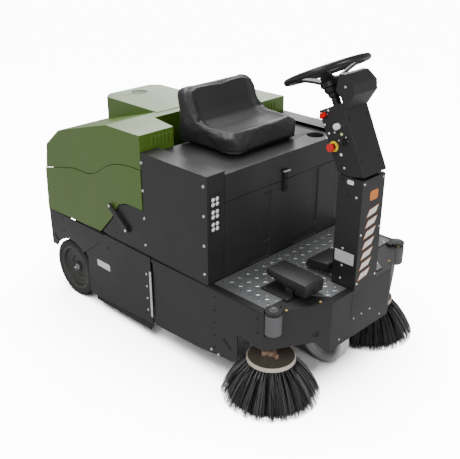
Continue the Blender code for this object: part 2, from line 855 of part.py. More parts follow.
def hump(name, inset):
    """The raised middle of the lid, running back over the rear slope."""
    body = slab(name, hump_outline(inset), "XY", HOOD_Z - 0.146, HOOD_Z - GAP - inset, GREEN)
    rear = HOOD_FRONT_Y + HUMP_LENGTH
    wedge = [
        (rear + 0.02, HOOD_Z - 0.062 - inset),
        (rear - inset, HOOD_Z - 0.057 - inset),
        (rear - 0.043 - inset, HOOD_Z - inset),
        (rear - 0.043 - inset, HOOD_Z + 0.02),
        (rear + 0.02, HOOD_Z + 0.02),
    ]
    cut(body, slab(f"{name}_chamfer", wedge, "YZ", -0.2, 0.2, GREEN), solver=HOOD_SOLVER)
    return body


def seat_recess(name, grow):
    """The space that the hood leaves round the backrest."""
    inner = SEAT_WIDTH / 2 + RECESS_SIDE + grow
    mouth = inner + 0.040
    depth = HOOD_FRONT_Y + RECESS_DEPTH + grow
    outline = [
        (-mouth, HOOD_FRONT_Y - 0.02),
        (-inner, depth),
        (inner, depth),
        (mouth, HOOD_FRONT_Y - 0.02),
    ]
    return slab(name, outline, "XY", DECK_Z, HOOD_Z + 0.05, GREEN)


def upper_hood():
    """The green lid: a shell with a hump, a seat recess and a round recess on top."""
    outline = hood_profile(0.0) + [(y, z) for y, z in reversed(wave(0.002))]
    lid = slab("upper_hood", outline, "YZ", -HALF, HALF, GREEN)
    join(lid, hump("hood_hump", 0.0), solver=HOOD_SOLVER)
    cut(lid, seat_recess("recess", 0.0), solver=HOOD_SOLVER)
    hollow = slab(
        "hood_hollow",
        hood_profile(HOOD_WALL) + [(HOOD_FRONT_Y + HOOD_WALL, HOOD_NOTCH_Z - 0.09)],
        "YZ",
        -HALF + HOOD_WALL,
        HALF - HOOD_WALL,
        GREEN,
    )
    join(hollow, hump("hump_hollow", HOOD_WALL), solver=HOOD_SOLVER)
    cut(hollow, seat_recess("recess_wall", HOOD_WALL), solver=HOOD_SOLVER)
    cut(lid, hollow, solver=HOOD_SOLVER)
    spot = (0.0, HOOD_FRONT_Y + HUMP_LENGTH - 0.134)
    cut(lid, rod("top_recess", (*spot, HOOD_Z - 0.004), (*spot, HOOD_Z + 0.02), 0.042, GREEN, 32), solver=HOOD_SOLVER)
    pivot("upper_hood_axis", (0.0, REAR_Y - 0.020, HOOD_PART_Z + 0.006), lid)


def side_lever():
    """The hopper lever on the right side, a flat bar on a pin."""
    top = Vector((BOX_REAR_Y + 0.250, HOOD_NOTCH_Z - 0.038))
    end = Vector((BOX_REAR_Y + 0.122, HOOD_NOTCH_Z - 0.134))
    across = (end - top).normalized().orthogonal() * 0.014
    outline = [tuple(top + across), tuple(end + across), tuple(end - across), tuple(top - across)]
    outside = -HALF - 0.003
    bar = slab("side_lever", outline, "YZ", outside - 0.014, outside - 0.006, BLACK, 0.002)
    boss = rod("lever_boss", (-HALF - GAP, *end), (outside - 0.010, *end), 0.012, BLACK, 20)
    join(bar, boss)
    pivot("side_lever_axis", (outside, *end), bar)


# ---------------------------------------------------------------- inside the machine
def filter_and_fan():
    low = DECK_Z + 0.030
    half = HALF - 0.180
    front = HOPPER_FRONT_Y + 0.045
    box("filter_element", (-half, front, low), (half, front + FILTER_LENGTH, low + 0.160), FILTER, 0.004)
    turned(
        "vacuum_fan",
        [(0.0, 0.11), (0.060, 0.11), (0.060, 0.05), (0.120, 0.04), (0.120, -0.09), (0.0, -0.09)],
        (0.0, HOOD_FRONT_Y + 0.191, low + 0.130),
        (0, 0, 1),
        BLACK,
        32,
    )


def hopper():
    """The dust bin, open at its front for the broom, with a handle on its rear face."""
    half = HOPPER_WIDTH / 2
    outer = box(
        "hopper_bin", (-half, HOPPER_FRONT_Y, HOPPER_BOTTOM), (half, HOPPER_REAR_Y + 0.006, HOPPER_TOP), BLACK
    )
    inner = box(
        "hopper_hollow",
        (-half + 0.005, HOPPER_FRONT_Y - 0.05, HOPPER_BOTTOM + 0.005),
        (half - 0.005, HOPPER_REAR_Y, HOPPER_TOP + 0.05),
        BLACK,
    )
    cut(outer, inner)
    face = HOPPER_REAR_Y + 0.006 + GAP
    handle_z = HOPPER_BOTTOM + HOPPER_HEIGHT * 0.7
    foot = 0.120
    grip = box("hopper_handle", (-foot, face, handle_z - 0.012), (foot, face + HANDLE_REACH, handle_z + 0.012), BLACK)
    gap = box(
        "handle_gap", (-foot + 0.02, face - 0.01, handle_z - 0.02), (foot - 0.02, face + HANDLE_REACH - 0.012, handle_z + 0.02), BLACK
    )
    cut(grip, gap)
    pivot("hopper_slide", (0.0, HOPPER_REAR_Y, HOPPER_BOTTOM), outer, grip)


def main_broom():
    """The lifting arm and the broom that turns in it."""
    half = BROOM_LENGTH / 2
    arm_x = half + 0.012
    outline = [
        (BROOM_PIVOT_Y - 0.025, BROOM_PIVOT_Z - 0.025),
        (BROOM_PIVOT_Y - 0.025, BROOM_PIVOT_Z + 0.025),
        (BROOM_PIVOT_Y + 0.030, BROOM_PIVOT_Z + 0.025),
        (BROOM_Y + 0.035, BROOM_Z + 0.030),
        (BROOM_Y + 0.035, BROOM_Z - 0.030),
        (BROOM_Y - 0.035, BROOM_Z - 0.030),
    ]
    arm = slab("broom_arm", outline, "YZ", -arm_x - 0.008, -arm_x, FRAME)
    other = slab("broom_arm_l", outline, "YZ", arm_x, arm_x + 0.008, FRAME)
    tube = rod(
        "broom_tube",
        (-arm_x - 0.02, BROOM_PIVOT_Y, BROOM_PIVOT_Z),
        (arm_x + 0.02, BROOM_PIVOT_Y, BROOM_PIVOT_Z),
        0.018,
        FRAME,
    )
    join(arm, other, tube)
    core_radius = 0.070
    core = rod("broom_core", (-half, BROOM_Y, BROOM_Z), (half, BROOM_Y, BROOM_Z), core_radius, BLACK, 32)
    stub = half + 0.008
    join(core, rod("broom_stub", (-stub, BROOM_Y, BROOM_Z), (stub, BROOM_Y, BROOM_Z), 0.014, STEEL, 20))
    bristles = turned(
        "broom_bristles",
        ring_profile(BROOM_RADIUS, core_radius + 0.001, half - 0.004, 0.006),
        (0.0, BROOM_Y, BROOM_Z),
        (1, 0, 0),
        BRISTLE,
        48,
    )
    pivot("broom_lift_axis", (0.0, BROOM_PIVOT_Y, BROOM_PIVOT_Z), arm)
    pivot("main_broom_axis", (0.0, BROOM_Y, BROOM_Z), core, bristles)


def broom_doors():
    """The access doors on both sides, each hinged along its front edge."""
    rear = DOOR_HINGE_Y + DOOR_LENGTH
    top = DECK_Z - 0.006
    outline = [
        (DOOR_HINGE_Y, SKIRT_Z),
        (DOOR_HINGE_Y, top),
        (rear - 0.168, top),
        (rear, DECK_Z - 0.196),
        (rear, SKIRT_Z - 0.037),
    ]
    for side, name in ((-1, "broom_door_r"), (1, "broom_door_l")):
        face = side * (HALF + GAP)
        low, high = sorted((face, face + side * SHEET))
        door = slab(name, outline, "YZ", low, high, FRAME)
        low_z, high_z = SKIRT_Z + 0.041, DECK_Z - 0.079
        x = face + side * SHEET / 2
        knuckle = rod(f"{name}_knuckle", (x, DOOR_HINGE_Y, low_z), (x, DOOR_HINGE_Y, high_z), 0.0055, STEEL, 12)
        join(door, knuckle)
        pivot(f"{name}_axis", (x, DOOR_HINGE_Y, (low_z + high_z) / 2), door)


# ---------------------------------------------------------------- wheels
def wheel(prefix, suffix, centre, radius, width, tyre_depth, colours, side):
    """A tyre and a deep-dish rim, turned about the X axis; side is where the dish faces."""
    half = width / 2
    inner = radius - tyre_depth
    tyre = turned(
        f"{prefix}_tyre{suffix}", ring_profile(radius, inner, half, 0.012), centre, (side, 0, 0), colours[0], 48
    )
    seat_radius = inner - GAP
    rim_profile = [
        (0.0125, half - 0.012),
        (0.030, half - 0.012),
        (0.034, half - 0.030),
        (seat_radius - 0.016, half - 0.034),
        (seat_radius - 0.008, half - 0.004),
        (seat_radius, half - 0.004),
        (seat_radius, -half + 0.004),
        (seat_radius - 0.008, -half + 0.004),
        (seat_radius - 0.016, half - 0.042),
        (0.034, half - 0.042),
        (0.030, -half + 0.006),
        (0.0125, -half + 0.006),
        (0.0125, half - 0.012),
    ]
    rim = turned(f"{prefix}_rim{suffix}", rim_profile, centre, (side, 0, 0), colours[1], 40)
    pivot(f"{prefix}_wheel{suffix}_axis", centre, tyre, rim)


def rear_wheels():
    for side, suffix in ((-1, "_r"), (1, "_l")):
        x = side * (HALF - TYRE_WIDTH / 2)
        wheel("rear", suffix, (x, REAR_WHEEL_Y, WHEEL_RADIUS), WHEEL_RADIUS, TYRE_WIDTH, 0.034, (RUBBER, FRAME), side)


def front_wheel():
    """The steered wheel and its fork."""
    centre = (0.0, FRONT_WHEEL_Y, FRONT_WHEEL_RADIUS)
    wheel("front", "", centre, FRONT_WHEEL_RADIUS, FRONT_TYRE_WIDTH, 0.026, (PALE, PALE), -1)
    half = FRONT_TYRE_WIDTH / 2 + 0.006
    top = DECK_Z - SHEET - 0.012
    crown = FRONT_WHEEL_RADIUS * 2 + 0.020
    fork = box(
        "steer_fork", (-half - 0.012, FRONT_WHEEL_Y - 0.045, crown), (half + 0.012, FRONT_WHEEL_Y + 0.045, crown + 0.02), FRAME
    )
    leg_outline = [
        (FRONT_WHEEL_Y - 0.045, crown + 0.010),
        (FRONT_WHEEL_Y + 0.045, crown + 0.010),
        (FRONT_WHEEL_Y + 0.022, FRONT_WHEEL_RADIUS - 0.022),
        (FRONT_WHEEL_Y - 0.022, FRONT_WHEEL_RADIUS - 0.022),
    ]
    right = slab("fork_leg_r", leg_outline, "YZ", -half - 0.012, -half, FRAME)
    left = slab("fork_leg_l", leg_outline, "YZ", half, half + 0.012, FRAME)
    axle = rod(
        "fork_axle", (-half - 0.004, *centre[1:]), (half + 0.004, *centre[1:]), 0.0115, FRAME, 20
    )
    stem = rod("fork_stem", (0, FRONT_WHEEL_Y, crown + 0.01), (0, FRONT_WHEEL_Y, top), 0.030, FRAME)
    join(fork, right, left, axle, stem)
    pivot("steer_fork_axis", (0.0, FRONT_WHEEL_Y, crown), fork)


# ---------------------------------------------------------------- side brushes
def side_brushes():
    for side, suffix in ((-1, "_r"), (1, "_l")):
        centre = Vector((side * BRUSH_X, BRUSH_Y, 0.0))
        disc_top = BRUSH_DISC_Z
        disc = turned(
            f"brush_disc{suffix}",
            [(0.0, 0.0), (BRUSH_DISC_RADIUS - 0.004, 0.0), (BRUSH_DISC_RADIUS, -0.004), (BRUSH_DISC_RADIUS, -0.022), (0.0, -0.022)],
            centre + Vector((0, 0, disc_top)),
            (0, 0, 1),
            CREAM,
            48,
        )
        block = box(
            f"brush_block{suffix}",
            centre + Vector((-0.024, -0.024, disc_top - 0.004)),
            centre + Vector((0.024, 0.024, disc_top + 0.020)),
            CREAM,
        )
        join(disc, block)
        root = disc_top - 0.022 - GAP
        bristles = turned(
            f"brush_bristles{suffix}",
            [
                (BRUSH_DISC_RADIUS - 0.045, root),
                (BRUSH_DISC_RADIUS - 0.006, root),
                (BRUSH_RADIUS - 0.050, 0.085),
                (BRUSH_RADIUS, FLOOR_CLEARANCE + 0.014),
                (BRUSH_RADIUS - 0.016, FLOOR_CLEARANCE),
                (BRUSH_RADIUS - 0.110, FLOOR_CLEARANCE),
                (BRUSH_DISC_RADIUS - 0.045, root),
            ],
            centre,
            (0, 0, 1),
            BRISTLE,
            48,
        )
        motor_low = disc_top + 0.020 + GAP
        motor = rod(
            f"brush_motor{suffix}",
            centre + Vector((0, 0, motor_low)),
            centre + Vector((0, 0, MOTOR_TOP)),
            0.046,
            FRAME,
            28,
        )
        arm = brush_arm(f"brush_arm{suffix}", side, centre)
        pivot(f"side_arm{suffix}_axis", (0.0, ARM_PIVOT_Y, ARM_Z), arm, motor)
        pivot(f"side_brush{suffix}_axis", centre + Vector((0, 0, disc_top)), disc, bristles)


def brush_arm(name, side, centre):
    """The swing arm from its pivot tube under the deck to the motor."""
    arm = box(name, centre + Vector((-0.045, -0.045, MOTOR_TOP + GAP)), centre + Vector((0.045, 0.055, MOTOR_TOP + 0.010)), FRAME)
    x = side * (BRUSH_X - 0.030)
    bar = box(f"{name}_bar", (x - 0.016, ARM_PIVOT_Y, MOTOR_TOP + GAP), (x + 0.016, BRUSH_Y, MOTOR_TOP + 0.028), FRAME)
    tube = rod(f"{name}_tube", (x - 0.045, ARM_PIVOT_Y, ARM_Z), (x + 0.045, ARM_PIVOT_Y, ARM_Z), ARM_TUBE, FRAME, 20)
    return join(arm, bar, tube)


# ---------------------------------------------------------------- steering column
def shell_block(name, low, high, wall, material, bevel=0.0):
    """A hollow block, open at the bottom."""
    obj = box(name, low, high, material, bevel)
    inner_low = Vector(low) + Vector((wall, wall, -0.02))
    inner_high = Vector(high) - Vector((wall, wall, wall))
    return cut(obj, box(f"{name}_hollow", inner_low, inner_high, material))


def column():
    low = (-COLUMN_HALF, COLUMN_FRONT_Y, DECK_Z + GAP)
    high = (COLUMN_HALF, COLUMN_REAR_Y, COLUMN_TOP)
    shell_block("column_base", low, high, SHEET, BLACK)
    half = COLUMN_HALF - 0.001
    depth = COLUMN_DEPTH / 2 - 0.001
    low_z = TILT_Z - 0.080
    head = box(
        "upper_column", (-half, TILT_Y - depth, low_z), (half, TILT_Y + depth, TILT_Z + HEAD_LENGTH), BLACK
    )
    seam = COLUMN_TOP + PLAY
    reach = COLUMN_DEPTH
    below = [
        (TILT_Y - reach, seam - 0.150),
        (TILT_Y - reach, seam + reach * math.tan(TILT_LIMIT)),
        (TILT_Y, seam),
        (TILT_Y + reach, seam),
        (TILT_Y + reach, seam - 0.150),
    ]
    inside = box(
        "head_hollow",
        (-half + SHEET, TILT_Y - depth + SHEET, low_z - 0.03),
        (half - SHEET, TILT_Y + depth - SHEET, TILT_Z + HEAD_LENGTH - SHEET),
        BLACK,
    )
    lean_object(head)
    lean_object(inside)
    cut(head, inside, slab("head_foot", below, "YZ", -COLUMN_WIDTH, COLUMN_WIDTH, BLACK))
    return head


def dash_housing():
    """The faceted housing at the front of the column's head."""
    front = TILT_Y - COLUMN_DEPTH / 2
    top = TILT_Z + HEAD_LENGTH
    outline = [
        (front - GAP, top - 0.030),
        (front - 0.066, top + 0.012),
        (front - 0.078, top + 0.050),
        (front - 0.052, top + 0.098),
        (front - 0.026, top + 0.108),
        (front + 0.014, top + 0.052),
        (front - GAP, top + 0.020),
    ]
    places = [lean((0.0, y, z)) for y, z in outline]
    half = COLUMN_HALF - 0.001
    return slab("dash_housing", [(p.y, p.z) for p in places], "YZ", -half, half, BLACK)


def on_panel(along, across):
    """A point on the right face of the upper column: along from the tilt pivot, across from its middle."""
    return lean((-COLUMN_HALF + 0.001, TILT_Y + across, TILT_Z + along))


def panel_rod(name, along, across, radius, start, end, material, sides=24):
    """A control that stands out of the right face, from start to end."""
    spot = on_panel(along, across)
    return rod(name, spot - Vector((start, 0, 0)), spot - Vector((end, 0, 0)), radius, material, sides)


def controls():
    """The key switch, pull knob, selector and emergency stop, with the places of their joints."""
    key = panel_rod("key_switch", 0.262, 0.039, 0.010, GAP, 0.016, RED, 20)
    tab_spot = on_panel(0.262, 0.039)
    join(
        key,
        box(
            "key_tab",
            tab_spot - Vector((0.030, 0.003, 0.012)),
            tab_spot - Vector((0.010, -0.003, -0.012)),
            RED,
        ),
    )
    knob = panel_rod("pull_knob", 0.203, -0.013, 0.013, 0.006, 0.022, WHITE)
    join(knob, panel_rod("pull_knob_stem", 0.203, -0.013, 0.005, GAP, 0.010, WHITE, 12))
    selector = panel_rod("selector_knob", 0.136, -0.020, 0.012, GAP, 0.015, BLACK)
    pointer = on_panel(0.136, -0.020)
    join(
        selector,
        box(
            "selector_bar",
            pointer - Vector((0.021, 0.0035, 0.014)),
            pointer - Vector((0.012, -0.0035, -0.014)),
            BLACK,
        ),
    )
    stop = panel_rod("estop_button", 0.130, 0.041, 0.0165, 0.018, 0.030, RED, 28)
    join(stop, panel_rod("estop_stem", 0.130, 0.041, 0.009, 0.0085, 0.020, RED, 20))
    pivot("key_switch_axis", on_panel(0.262, 0.039), key)
    pivot("pull_knob_axis", on_panel(0.203, -0.013), knob)
    pivot("selector_knob_axis", on_panel(0.136, -0.020), selector)
    pivot("estop_axis", on_panel(0.130, 0.041), stop)


def steering_wheel():
    """The rim, three dished spokes, the hub and the shaft, in one node."""
    middle_y = TILT_Y + STEERING_OFFSET
    hub = lean((0.0, middle_y, TILT_Z + HEAD_LENGTH + STEERING_REACH))

    def on_wheel(radius, angle, lift):
        flat = Vector((radius * math.cos(angle), radius * math.sin(angle), lift))
        return hub + Matrix.Rotation(-HEAD_LEAN, 3, "X") @ flat

    rings = 10
    profile = [
        (
            STEERING_RADIUS + STEERING_TUBE * math.cos(math.pi / 2 - 2 * math.pi * k / rings),
            STEERING_TUBE * math.sin(math.pi / 2 - 2 * math.pi * k / rings),
        )
        for k in range(rings + 1)
    ]
    rim = turned("steering_wheel", profile, hub, LEAN_AXIS, BLACK, 48)
    drop = -0.045
    spokes = []
    for index in range(3):
        angle = math.radians(90 + 120 * index)
        outer = on_wheel(STEERING_RADIUS, angle, 0.0)
        inner = on_wheel(0.030, angle, drop)
        spokes.append(rod(f"spoke_{index}", inner, outer, 0.011, BLACK, 10))
    hub_top = on_wheel(0.0, 0.0, drop + 0.014)
    hub_low = on_wheel(0.0, 0.0, drop - 0.020)
    centre = rod("steering_hub", hub_low, hub_top, 0.045, BLACK, 24)
    shaft_end = lean((0.0, middle_y, TILT_Z + HEAD_LENGTH + GAP))
    shaft = rod("steering_shaft", shaft_end, hub_low + LEAN_AXIS * 0.004, 0.018, BLACK, 20)
    join(rim, *spokes, centre, shaft)
    pivot("steering_wheel_axis", hub, rim)


# ---------------------------------------------------------------- pedals
def pedals():
    """A base plate with the accelerator's ear, the accelerator and the brake pedal."""
    base_low = PLATE_TOP + GAP
    gas_x = -COLUMN_HALF - 0.165
    half = PEDAL_WIDTH / 2
    base = box(
        "pedal_base",
        (gas_x - half - 0.045, NOSE_Y + 0.135, base_low),
        (gas_x + half + 0.061, NOSE_Y + 0.287, base_low + 0.004),
        BLACK,
    )
    pivot_y = NOSE_Y + 0.157
    pivot_z = DECK_Z + 0.028
    outer = gas_x - half - 0.006
    ear = box(
        "pedal_ear", (outer - 0.006, pivot_y - 0.018, base_low), (outer, pivot_y + 0.018, pivot_z + 0.014), BLACK
    )
    join(base, ear)
    gas_profile = [
        (-0.080, -0.008),
        (-0.085, 0.045),
        (-0.078, 0.051),
        (0.134, 0.056),
        (0.140, 0.050),
        (0.138, 0.028),
        (0.050, 0.012),
        (0.018, -0.012),
    ]
    gas_places = [(pivot_y + y, pivot_z + z) for y, z in gas_profile]
    gas = slab("accelerator_pedal", gas_places, "YZ", gas_x - half, gas_x + half, BLACK, 0.003)
    pivot("accelerator_axis", (gas_x, pivot_y, pivot_z), gas)
    brake_y = NOSE_Y + 0.267
    brake_z = DECK_Z + 0.020
    brake_profile = [
        (0.002, -0.008),
        (0.006, 0.006),
        (-0.006, 0.034),
        (-0.114, 0.048),
        (-0.122, 0.042),
        (-0.122, 0.018),
    ]
    brake_places = [(brake_y + y, brake_z + z) for y, z in brake_profile]
    brake_x = COLUMN_HALF - 0.061
    low, high = brake_x - BRAKE_WIDTH / 2, brake_x + BRAKE_WIDTH / 2
    brake = slab("brake_pedal", brake_places, "YZ", low, high, BLACK, 0.003)
    pivot("brake_axis", (brake_x, brake_y, brake_z), brake)


def build():
    ladder_frame()
    side_panels()
    front_bumper()
    deck_pan()
    tread_plate()
    corner_caps()
    corner_rollers()
    rear_panel()
    axle_brackets()
    seat_box_sides()
    seat_box_front()
    seat_deck()
    deck_latch()
    seat()
    battery_pack()
    lower_hood()
    upper_hood()
    side_lever()
    filter_and_fan()
    hopper()
    main_broom()
    broom_doors()
    rear_wheels()
    front_wheel()
    side_brushes()
    head = column()
    dash = dash_housing()
    controls()
    pivot("column_tilt_axis", (0.0, TILT_Y, TILT_Z), head, dash)
    steering_wheel()
    pedals()


build()
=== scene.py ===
"""The looks of the ride-on sweeper: its mouldings, sheet metal, seat, brushes, wheels and controls.

Front is -Y, up is +Z, and the driver's right-hand side is -X, as in the frame.
"""

import json
import math
import random

import bmesh
import bpy
from mathutils import Matrix, Vector
from mathutils.bvhtree import BVHTree

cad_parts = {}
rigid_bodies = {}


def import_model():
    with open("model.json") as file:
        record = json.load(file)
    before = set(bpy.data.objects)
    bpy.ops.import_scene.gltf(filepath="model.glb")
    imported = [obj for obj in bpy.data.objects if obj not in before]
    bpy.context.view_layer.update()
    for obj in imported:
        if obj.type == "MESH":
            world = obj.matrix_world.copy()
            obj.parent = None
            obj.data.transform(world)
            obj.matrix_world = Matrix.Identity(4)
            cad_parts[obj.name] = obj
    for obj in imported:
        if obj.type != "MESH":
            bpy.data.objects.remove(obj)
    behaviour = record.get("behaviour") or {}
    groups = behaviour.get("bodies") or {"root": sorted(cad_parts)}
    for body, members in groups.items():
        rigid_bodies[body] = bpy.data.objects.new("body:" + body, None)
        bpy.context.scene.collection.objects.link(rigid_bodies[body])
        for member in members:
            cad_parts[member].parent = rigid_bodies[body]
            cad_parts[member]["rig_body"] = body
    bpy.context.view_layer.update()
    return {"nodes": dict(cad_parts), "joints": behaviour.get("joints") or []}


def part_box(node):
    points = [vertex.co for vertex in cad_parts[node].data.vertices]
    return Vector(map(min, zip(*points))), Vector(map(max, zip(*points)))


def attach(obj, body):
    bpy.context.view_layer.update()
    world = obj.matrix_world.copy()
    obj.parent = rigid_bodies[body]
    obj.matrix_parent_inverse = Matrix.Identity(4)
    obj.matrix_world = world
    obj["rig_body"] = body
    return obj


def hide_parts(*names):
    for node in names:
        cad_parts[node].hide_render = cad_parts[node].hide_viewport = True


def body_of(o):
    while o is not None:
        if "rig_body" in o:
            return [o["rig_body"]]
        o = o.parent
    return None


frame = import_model()

# ---- places taken from the frame
SIDE_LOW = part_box("side_panel_r")[0]
SIDE_X = SIDE_LOW.x
HALF = -SIDE_X
CORNER_Y = SIDE_LOW.y
BOX_FRONT_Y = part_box("seat_box_r")[0].y
COVER_LOW, COVER_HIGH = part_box("seat_box_front")
SPLIT_Z = COVER_HIGH.z
COVER_Y = COVER_LOW.y
TREAD_LOW, TREAD_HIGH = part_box("tread_plate")
DECK_TOP = TREAD_HIGH.z
NOSE_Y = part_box("front_bumper")[0].y
COLUMN_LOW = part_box("column_base")[0]
DOOR_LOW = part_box("broom_door_r")[0]
FACET_HALF = 0.215
JOINTS = {joint["name"]: joint for joint in frame["joints"]}


def joint_axis(name):
    return Vector(JOINTS[name]["axis"]).normalized()


# ---- materials
def node(tree, kind, **inputs):
    made = tree.nodes.new(kind)
    for key, value in inputs.items():
        made.inputs[key.replace("_", " ")].default_value = value
    return made


def blank(name):
    material = bpy.data.materials.new(name)
    material.use_nodes = True
    return material, material.node_tree, material.node_tree.nodes["Principled BSDF"]


def shade(colour, factor):
    return (*(min(1.0, channel * factor) for channel in colour), 1.0)


def blended(tree, low, high, factor):
    """A colour socket mixed from two colours or sockets by a factor socket."""
    mix = tree.nodes.new("ShaderNodeMix")
    mix.data_type = "RGBA"
    colours = [s for s in mix.inputs if s.type == "RGBA"]
    for socket, value in zip(colours, (low, high)):
        if isinstance(value, tuple):
            socket.default_value = value
        else:
            tree.links.new(value, socket)
    tree.links.new(factor, [s for s in mix.inputs if s.type == "VALUE"][0])
    return [s for s in mix.outputs if s.type == "RGBA"][0]


def mottled(tree, coords, colours, scale, detail=4.0):
    """A colour that wanders between two, following a noise; returns (colour socket, noise socket)."""
    noise = node(tree, "ShaderNodeTexNoise", Scale=scale, Detail=detail, Roughness=0.6)
    tree.links.new(coords, noise.inputs["Vector"])
    return blended(tree, *colours, noise.outputs["Fac"]), noise.outputs["Fac"]


def ranged(tree, value, low, high, new_low, new_high):
    """A value socket mapped from one range to another, and clamped."""
    made = node(tree, "ShaderNodeMapRange")
    for key, number in zip(("From Min", "From Max", "To Min", "To Max"), (low, high, new_low, new_high)):
        made.inputs[key].default_value = number
    tree.links.new(value, made.inputs["Value"])
    return made.outputs["Result"]


def surface(name, colour, roughness, metallic=0.0, mottle=0.15, scale=5.0, grain=700.0, bump=0.12,
        dust=0.0, coat=0.0):
    """Paint, plastic or metal: a wandering tone, uneven gloss, a fine grain, and dust low down."""
    material, tree, shader = blank(name)
    coords = tree.nodes.new("ShaderNodeTexCoord").outputs["Object"]
    tones = (shade(colour, 1.0 - mottle), shade(colour, 1.0 + mottle))
    tone, noise = mottled(tree, coords, tones, scale)
    if dust:
        split = tree.nodes.new("ShaderNodeSeparateXYZ")
        tree.links.new(coords, split.inputs["Vector"])
        low = ranged(tree, split.outputs["Z"], 0.05, 0.55, dust, 0.0)
        tone = blended(tree, tone, (0.20, 0.19, 0.17, 1.0), low)
    tree.links.new(tone, shader.inputs["Base Color"])
    tree.links.new(ranged(tree, noise, 0.3, 0.7, roughness - 0.06, roughness + 0.08),
        shader.inputs["Roughness"])
    shader.inputs["Metallic"].default_value = metallic
    shader.inputs["Coat Weight"].default_value = coat
    shader.inputs["Coat Roughness"].default_value = 0.25
    fine = node(tree, "ShaderNodeTexNoise", Scale=grain, Detail=3.0, Roughness=0.6)
    tree.links.new(coords, fine.inputs["Vector"])
    relief = node(tree, "ShaderNodeBump", Strength=bump, Distance=0.0006)
    tree.links.new(fine.outputs["Fac"], relief.inputs["Height"])
    tree.links.new(relief.outputs["Normal"], shader.inputs["Normal"])
    return material


def leather(name, colour):
    """Grained vinyl: pebbled cells with fine creases between them, the creases darkened as painted shade."""
    material, tree, shader = blank(name)
    coords = tree.nodes.new("ShaderNodeTexCoord").outputs["Object"]
    cells = node(tree, "ShaderNodeTexVoronoi", Scale=430.0)
    cells.feature = "DISTANCE_TO_EDGE"
    tree.links.new(coords, cells.inputs["Vector"])
    edge = ranged(tree, cells.outputs["Distance"], 0.0, 0.12, 0.0, 1.0)
    tone, noise = mottled(tree, coords, (shade(colour, 0.8), shade(colour, 1.25)), 9.0)
    # The crease colour is the vinyl darkened: painted shade in the creases; the cells' wandering tone is
    # real
    tree.links.new(blended(tree, shade(colour, 0.55), tone, edge), shader.inputs["Base Color"])
    tree.links.new(ranged(tree, noise, 0.3, 0.7, 0.40, 0.56), shader.inputs["Roughness"])
    relief = node(tree, "ShaderNodeBump", Strength=0.35, Distance=0.0005)
    tree.links.new(edge, relief.inputs["Height"])
    tree.links.new(relief.outputs["Normal"], shader.inputs["Normal"])
    return material


def filament(name, dark, pale):
    """Bristle plastic whose tone differs from one filament to the next."""
    material, tree, shader = blank(name)
    info = tree.nodes.new("ShaderNodeNewGeometry")
    ramp = tree.nodes.new("ShaderNodeValToRGB")
    ramp.color_ramp.elements[0].color = (*dark, 1.0)
    ramp.color_ramp.elements[0].position = 0.45
    ramp.color_ramp.elements[1].color = (*pale, 1.0)
    tree.links.new(info.outputs["Random Per Island"], ramp.inputs["Fac"])
    tree.links.new(ramp.outputs["Color"], shader.inputs["Base Color"])
    shader.inputs["Roughness"].default_value = 0.42
    return material


def brushed(name, colour, roughness, stretch):
    """Metal with fine drawn lines along one axis."""
    material, tree, shader = blank(name)
    coords = tree.nodes.new("ShaderNodeTexCoord").outputs["Object"]
    mapping = tree.nodes.new("ShaderNodeMapping")
    mapping.inputs["Scale"].default_value = stretch
    tree.links.new(coords, mapping.inputs["Vector"])
    tone, noise = mottled(tree, mapping.outputs["Vector"], (shade(colour, 0.8), shade(colour, 1.15)), 60.0)
    tree.links.new(tone, shader.inputs["Base Color"])
    tree.links.new(ranged(tree, noise, 0.3, 0.7, roughness - 0.08, roughness + 0.1),
        shader.inputs["Roughness"])
    shader.inputs["Metallic"].default_value = 1.0
    relief = node(tree, "ShaderNodeBump", Strength=0.08, Distance=0.0004)
    tree.links.new(noise, relief.inputs["Height"])
    tree.links.new(relief.outputs["Normal"], shader.inputs["Normal"])
    return material


GREEN = surface("green_moulding", (0.074, 0.146, 0.013), 0.40, mottle=0.08, scale=3.0, grain=420.0,
    bump=0.10, coat=0.2)
# A darker copy of the hood green: painted shade for the hood's round recess
GREEN_PAINTED_SHADE = surface("green_painted_shade", (0.036, 0.072, 0.008), 0.45, mottle=0.08, scale=3.0, grain=420.0,
    bump=0.10)
PAINT = surface("powder_coat", (0.0150, 0.0153, 0.0160), 0.42, mottle=0.15, grain=1100.0, bump=0.18,
    dust=0.10)
PANEL = surface("black_panel", (0.0160, 0.0163, 0.0170), 0.45, mottle=0.14, scale=4.0, grain=900.0,
    bump=0.22)
SMOOTH = surface("gloss_black", (0.0105, 0.0105, 0.0112), 0.30, mottle=0.12, grain=500.0, bump=0.05)
SEAT = leather("seat_vinyl", (0.0200, 0.0200, 0.0210))
TREAD = surface("tread_metal", (0.20, 0.205, 0.21), 0.46, metallic=0.55, mottle=0.14, scale=14.0,
    grain=260.0, bump=0.25)
RAISED = brushed("tread_bars", (0.82, 0.83, 0.84), 0.26, (1.0, 1.0, 1.0))
RUBBER = surface("tyre_rubber", (0.0095, 0.0095, 0.0100), 0.66, mottle=0.25, scale=8.0, grain=500.0,
    bump=0.30, dust=0.16)
SKIRT = surface("skirt_rubber", (0.0080, 0.0080, 0.0085), 0.72, mottle=0.25, scale=10.0, grain=300.0,
    bump=0.35, dust=0.12)
ROLLER = surface("grey_rubber", (0.125, 0.125, 0.130), 0.52, mottle=0.10, scale=12.0, grain=500.0,
    bump=0.15)
PALE = surface("pale_tyre", (0.78, 0.78, 0.78), 0.50, mottle=0.12, scale=10.0, grain=400.0, bump=0.20)
ZINC = brushed("zinc", (0.78, 0.78, 0.79), 0.28, (1.0, 1.0, 0.2))
PLATED = surface("plated_strip", (0.80, 0.80, 0.81), 0.34, metallic=0.35, mottle=0.08, scale=20.0,
    grain=300.0, bump=0.08)
BRASS = surface("yellow_zinc", (0.72, 0.52, 0.20), 0.32, metallic=0.9, mottle=0.15, scale=60.0,
    grain=500.0, bump=0.08)
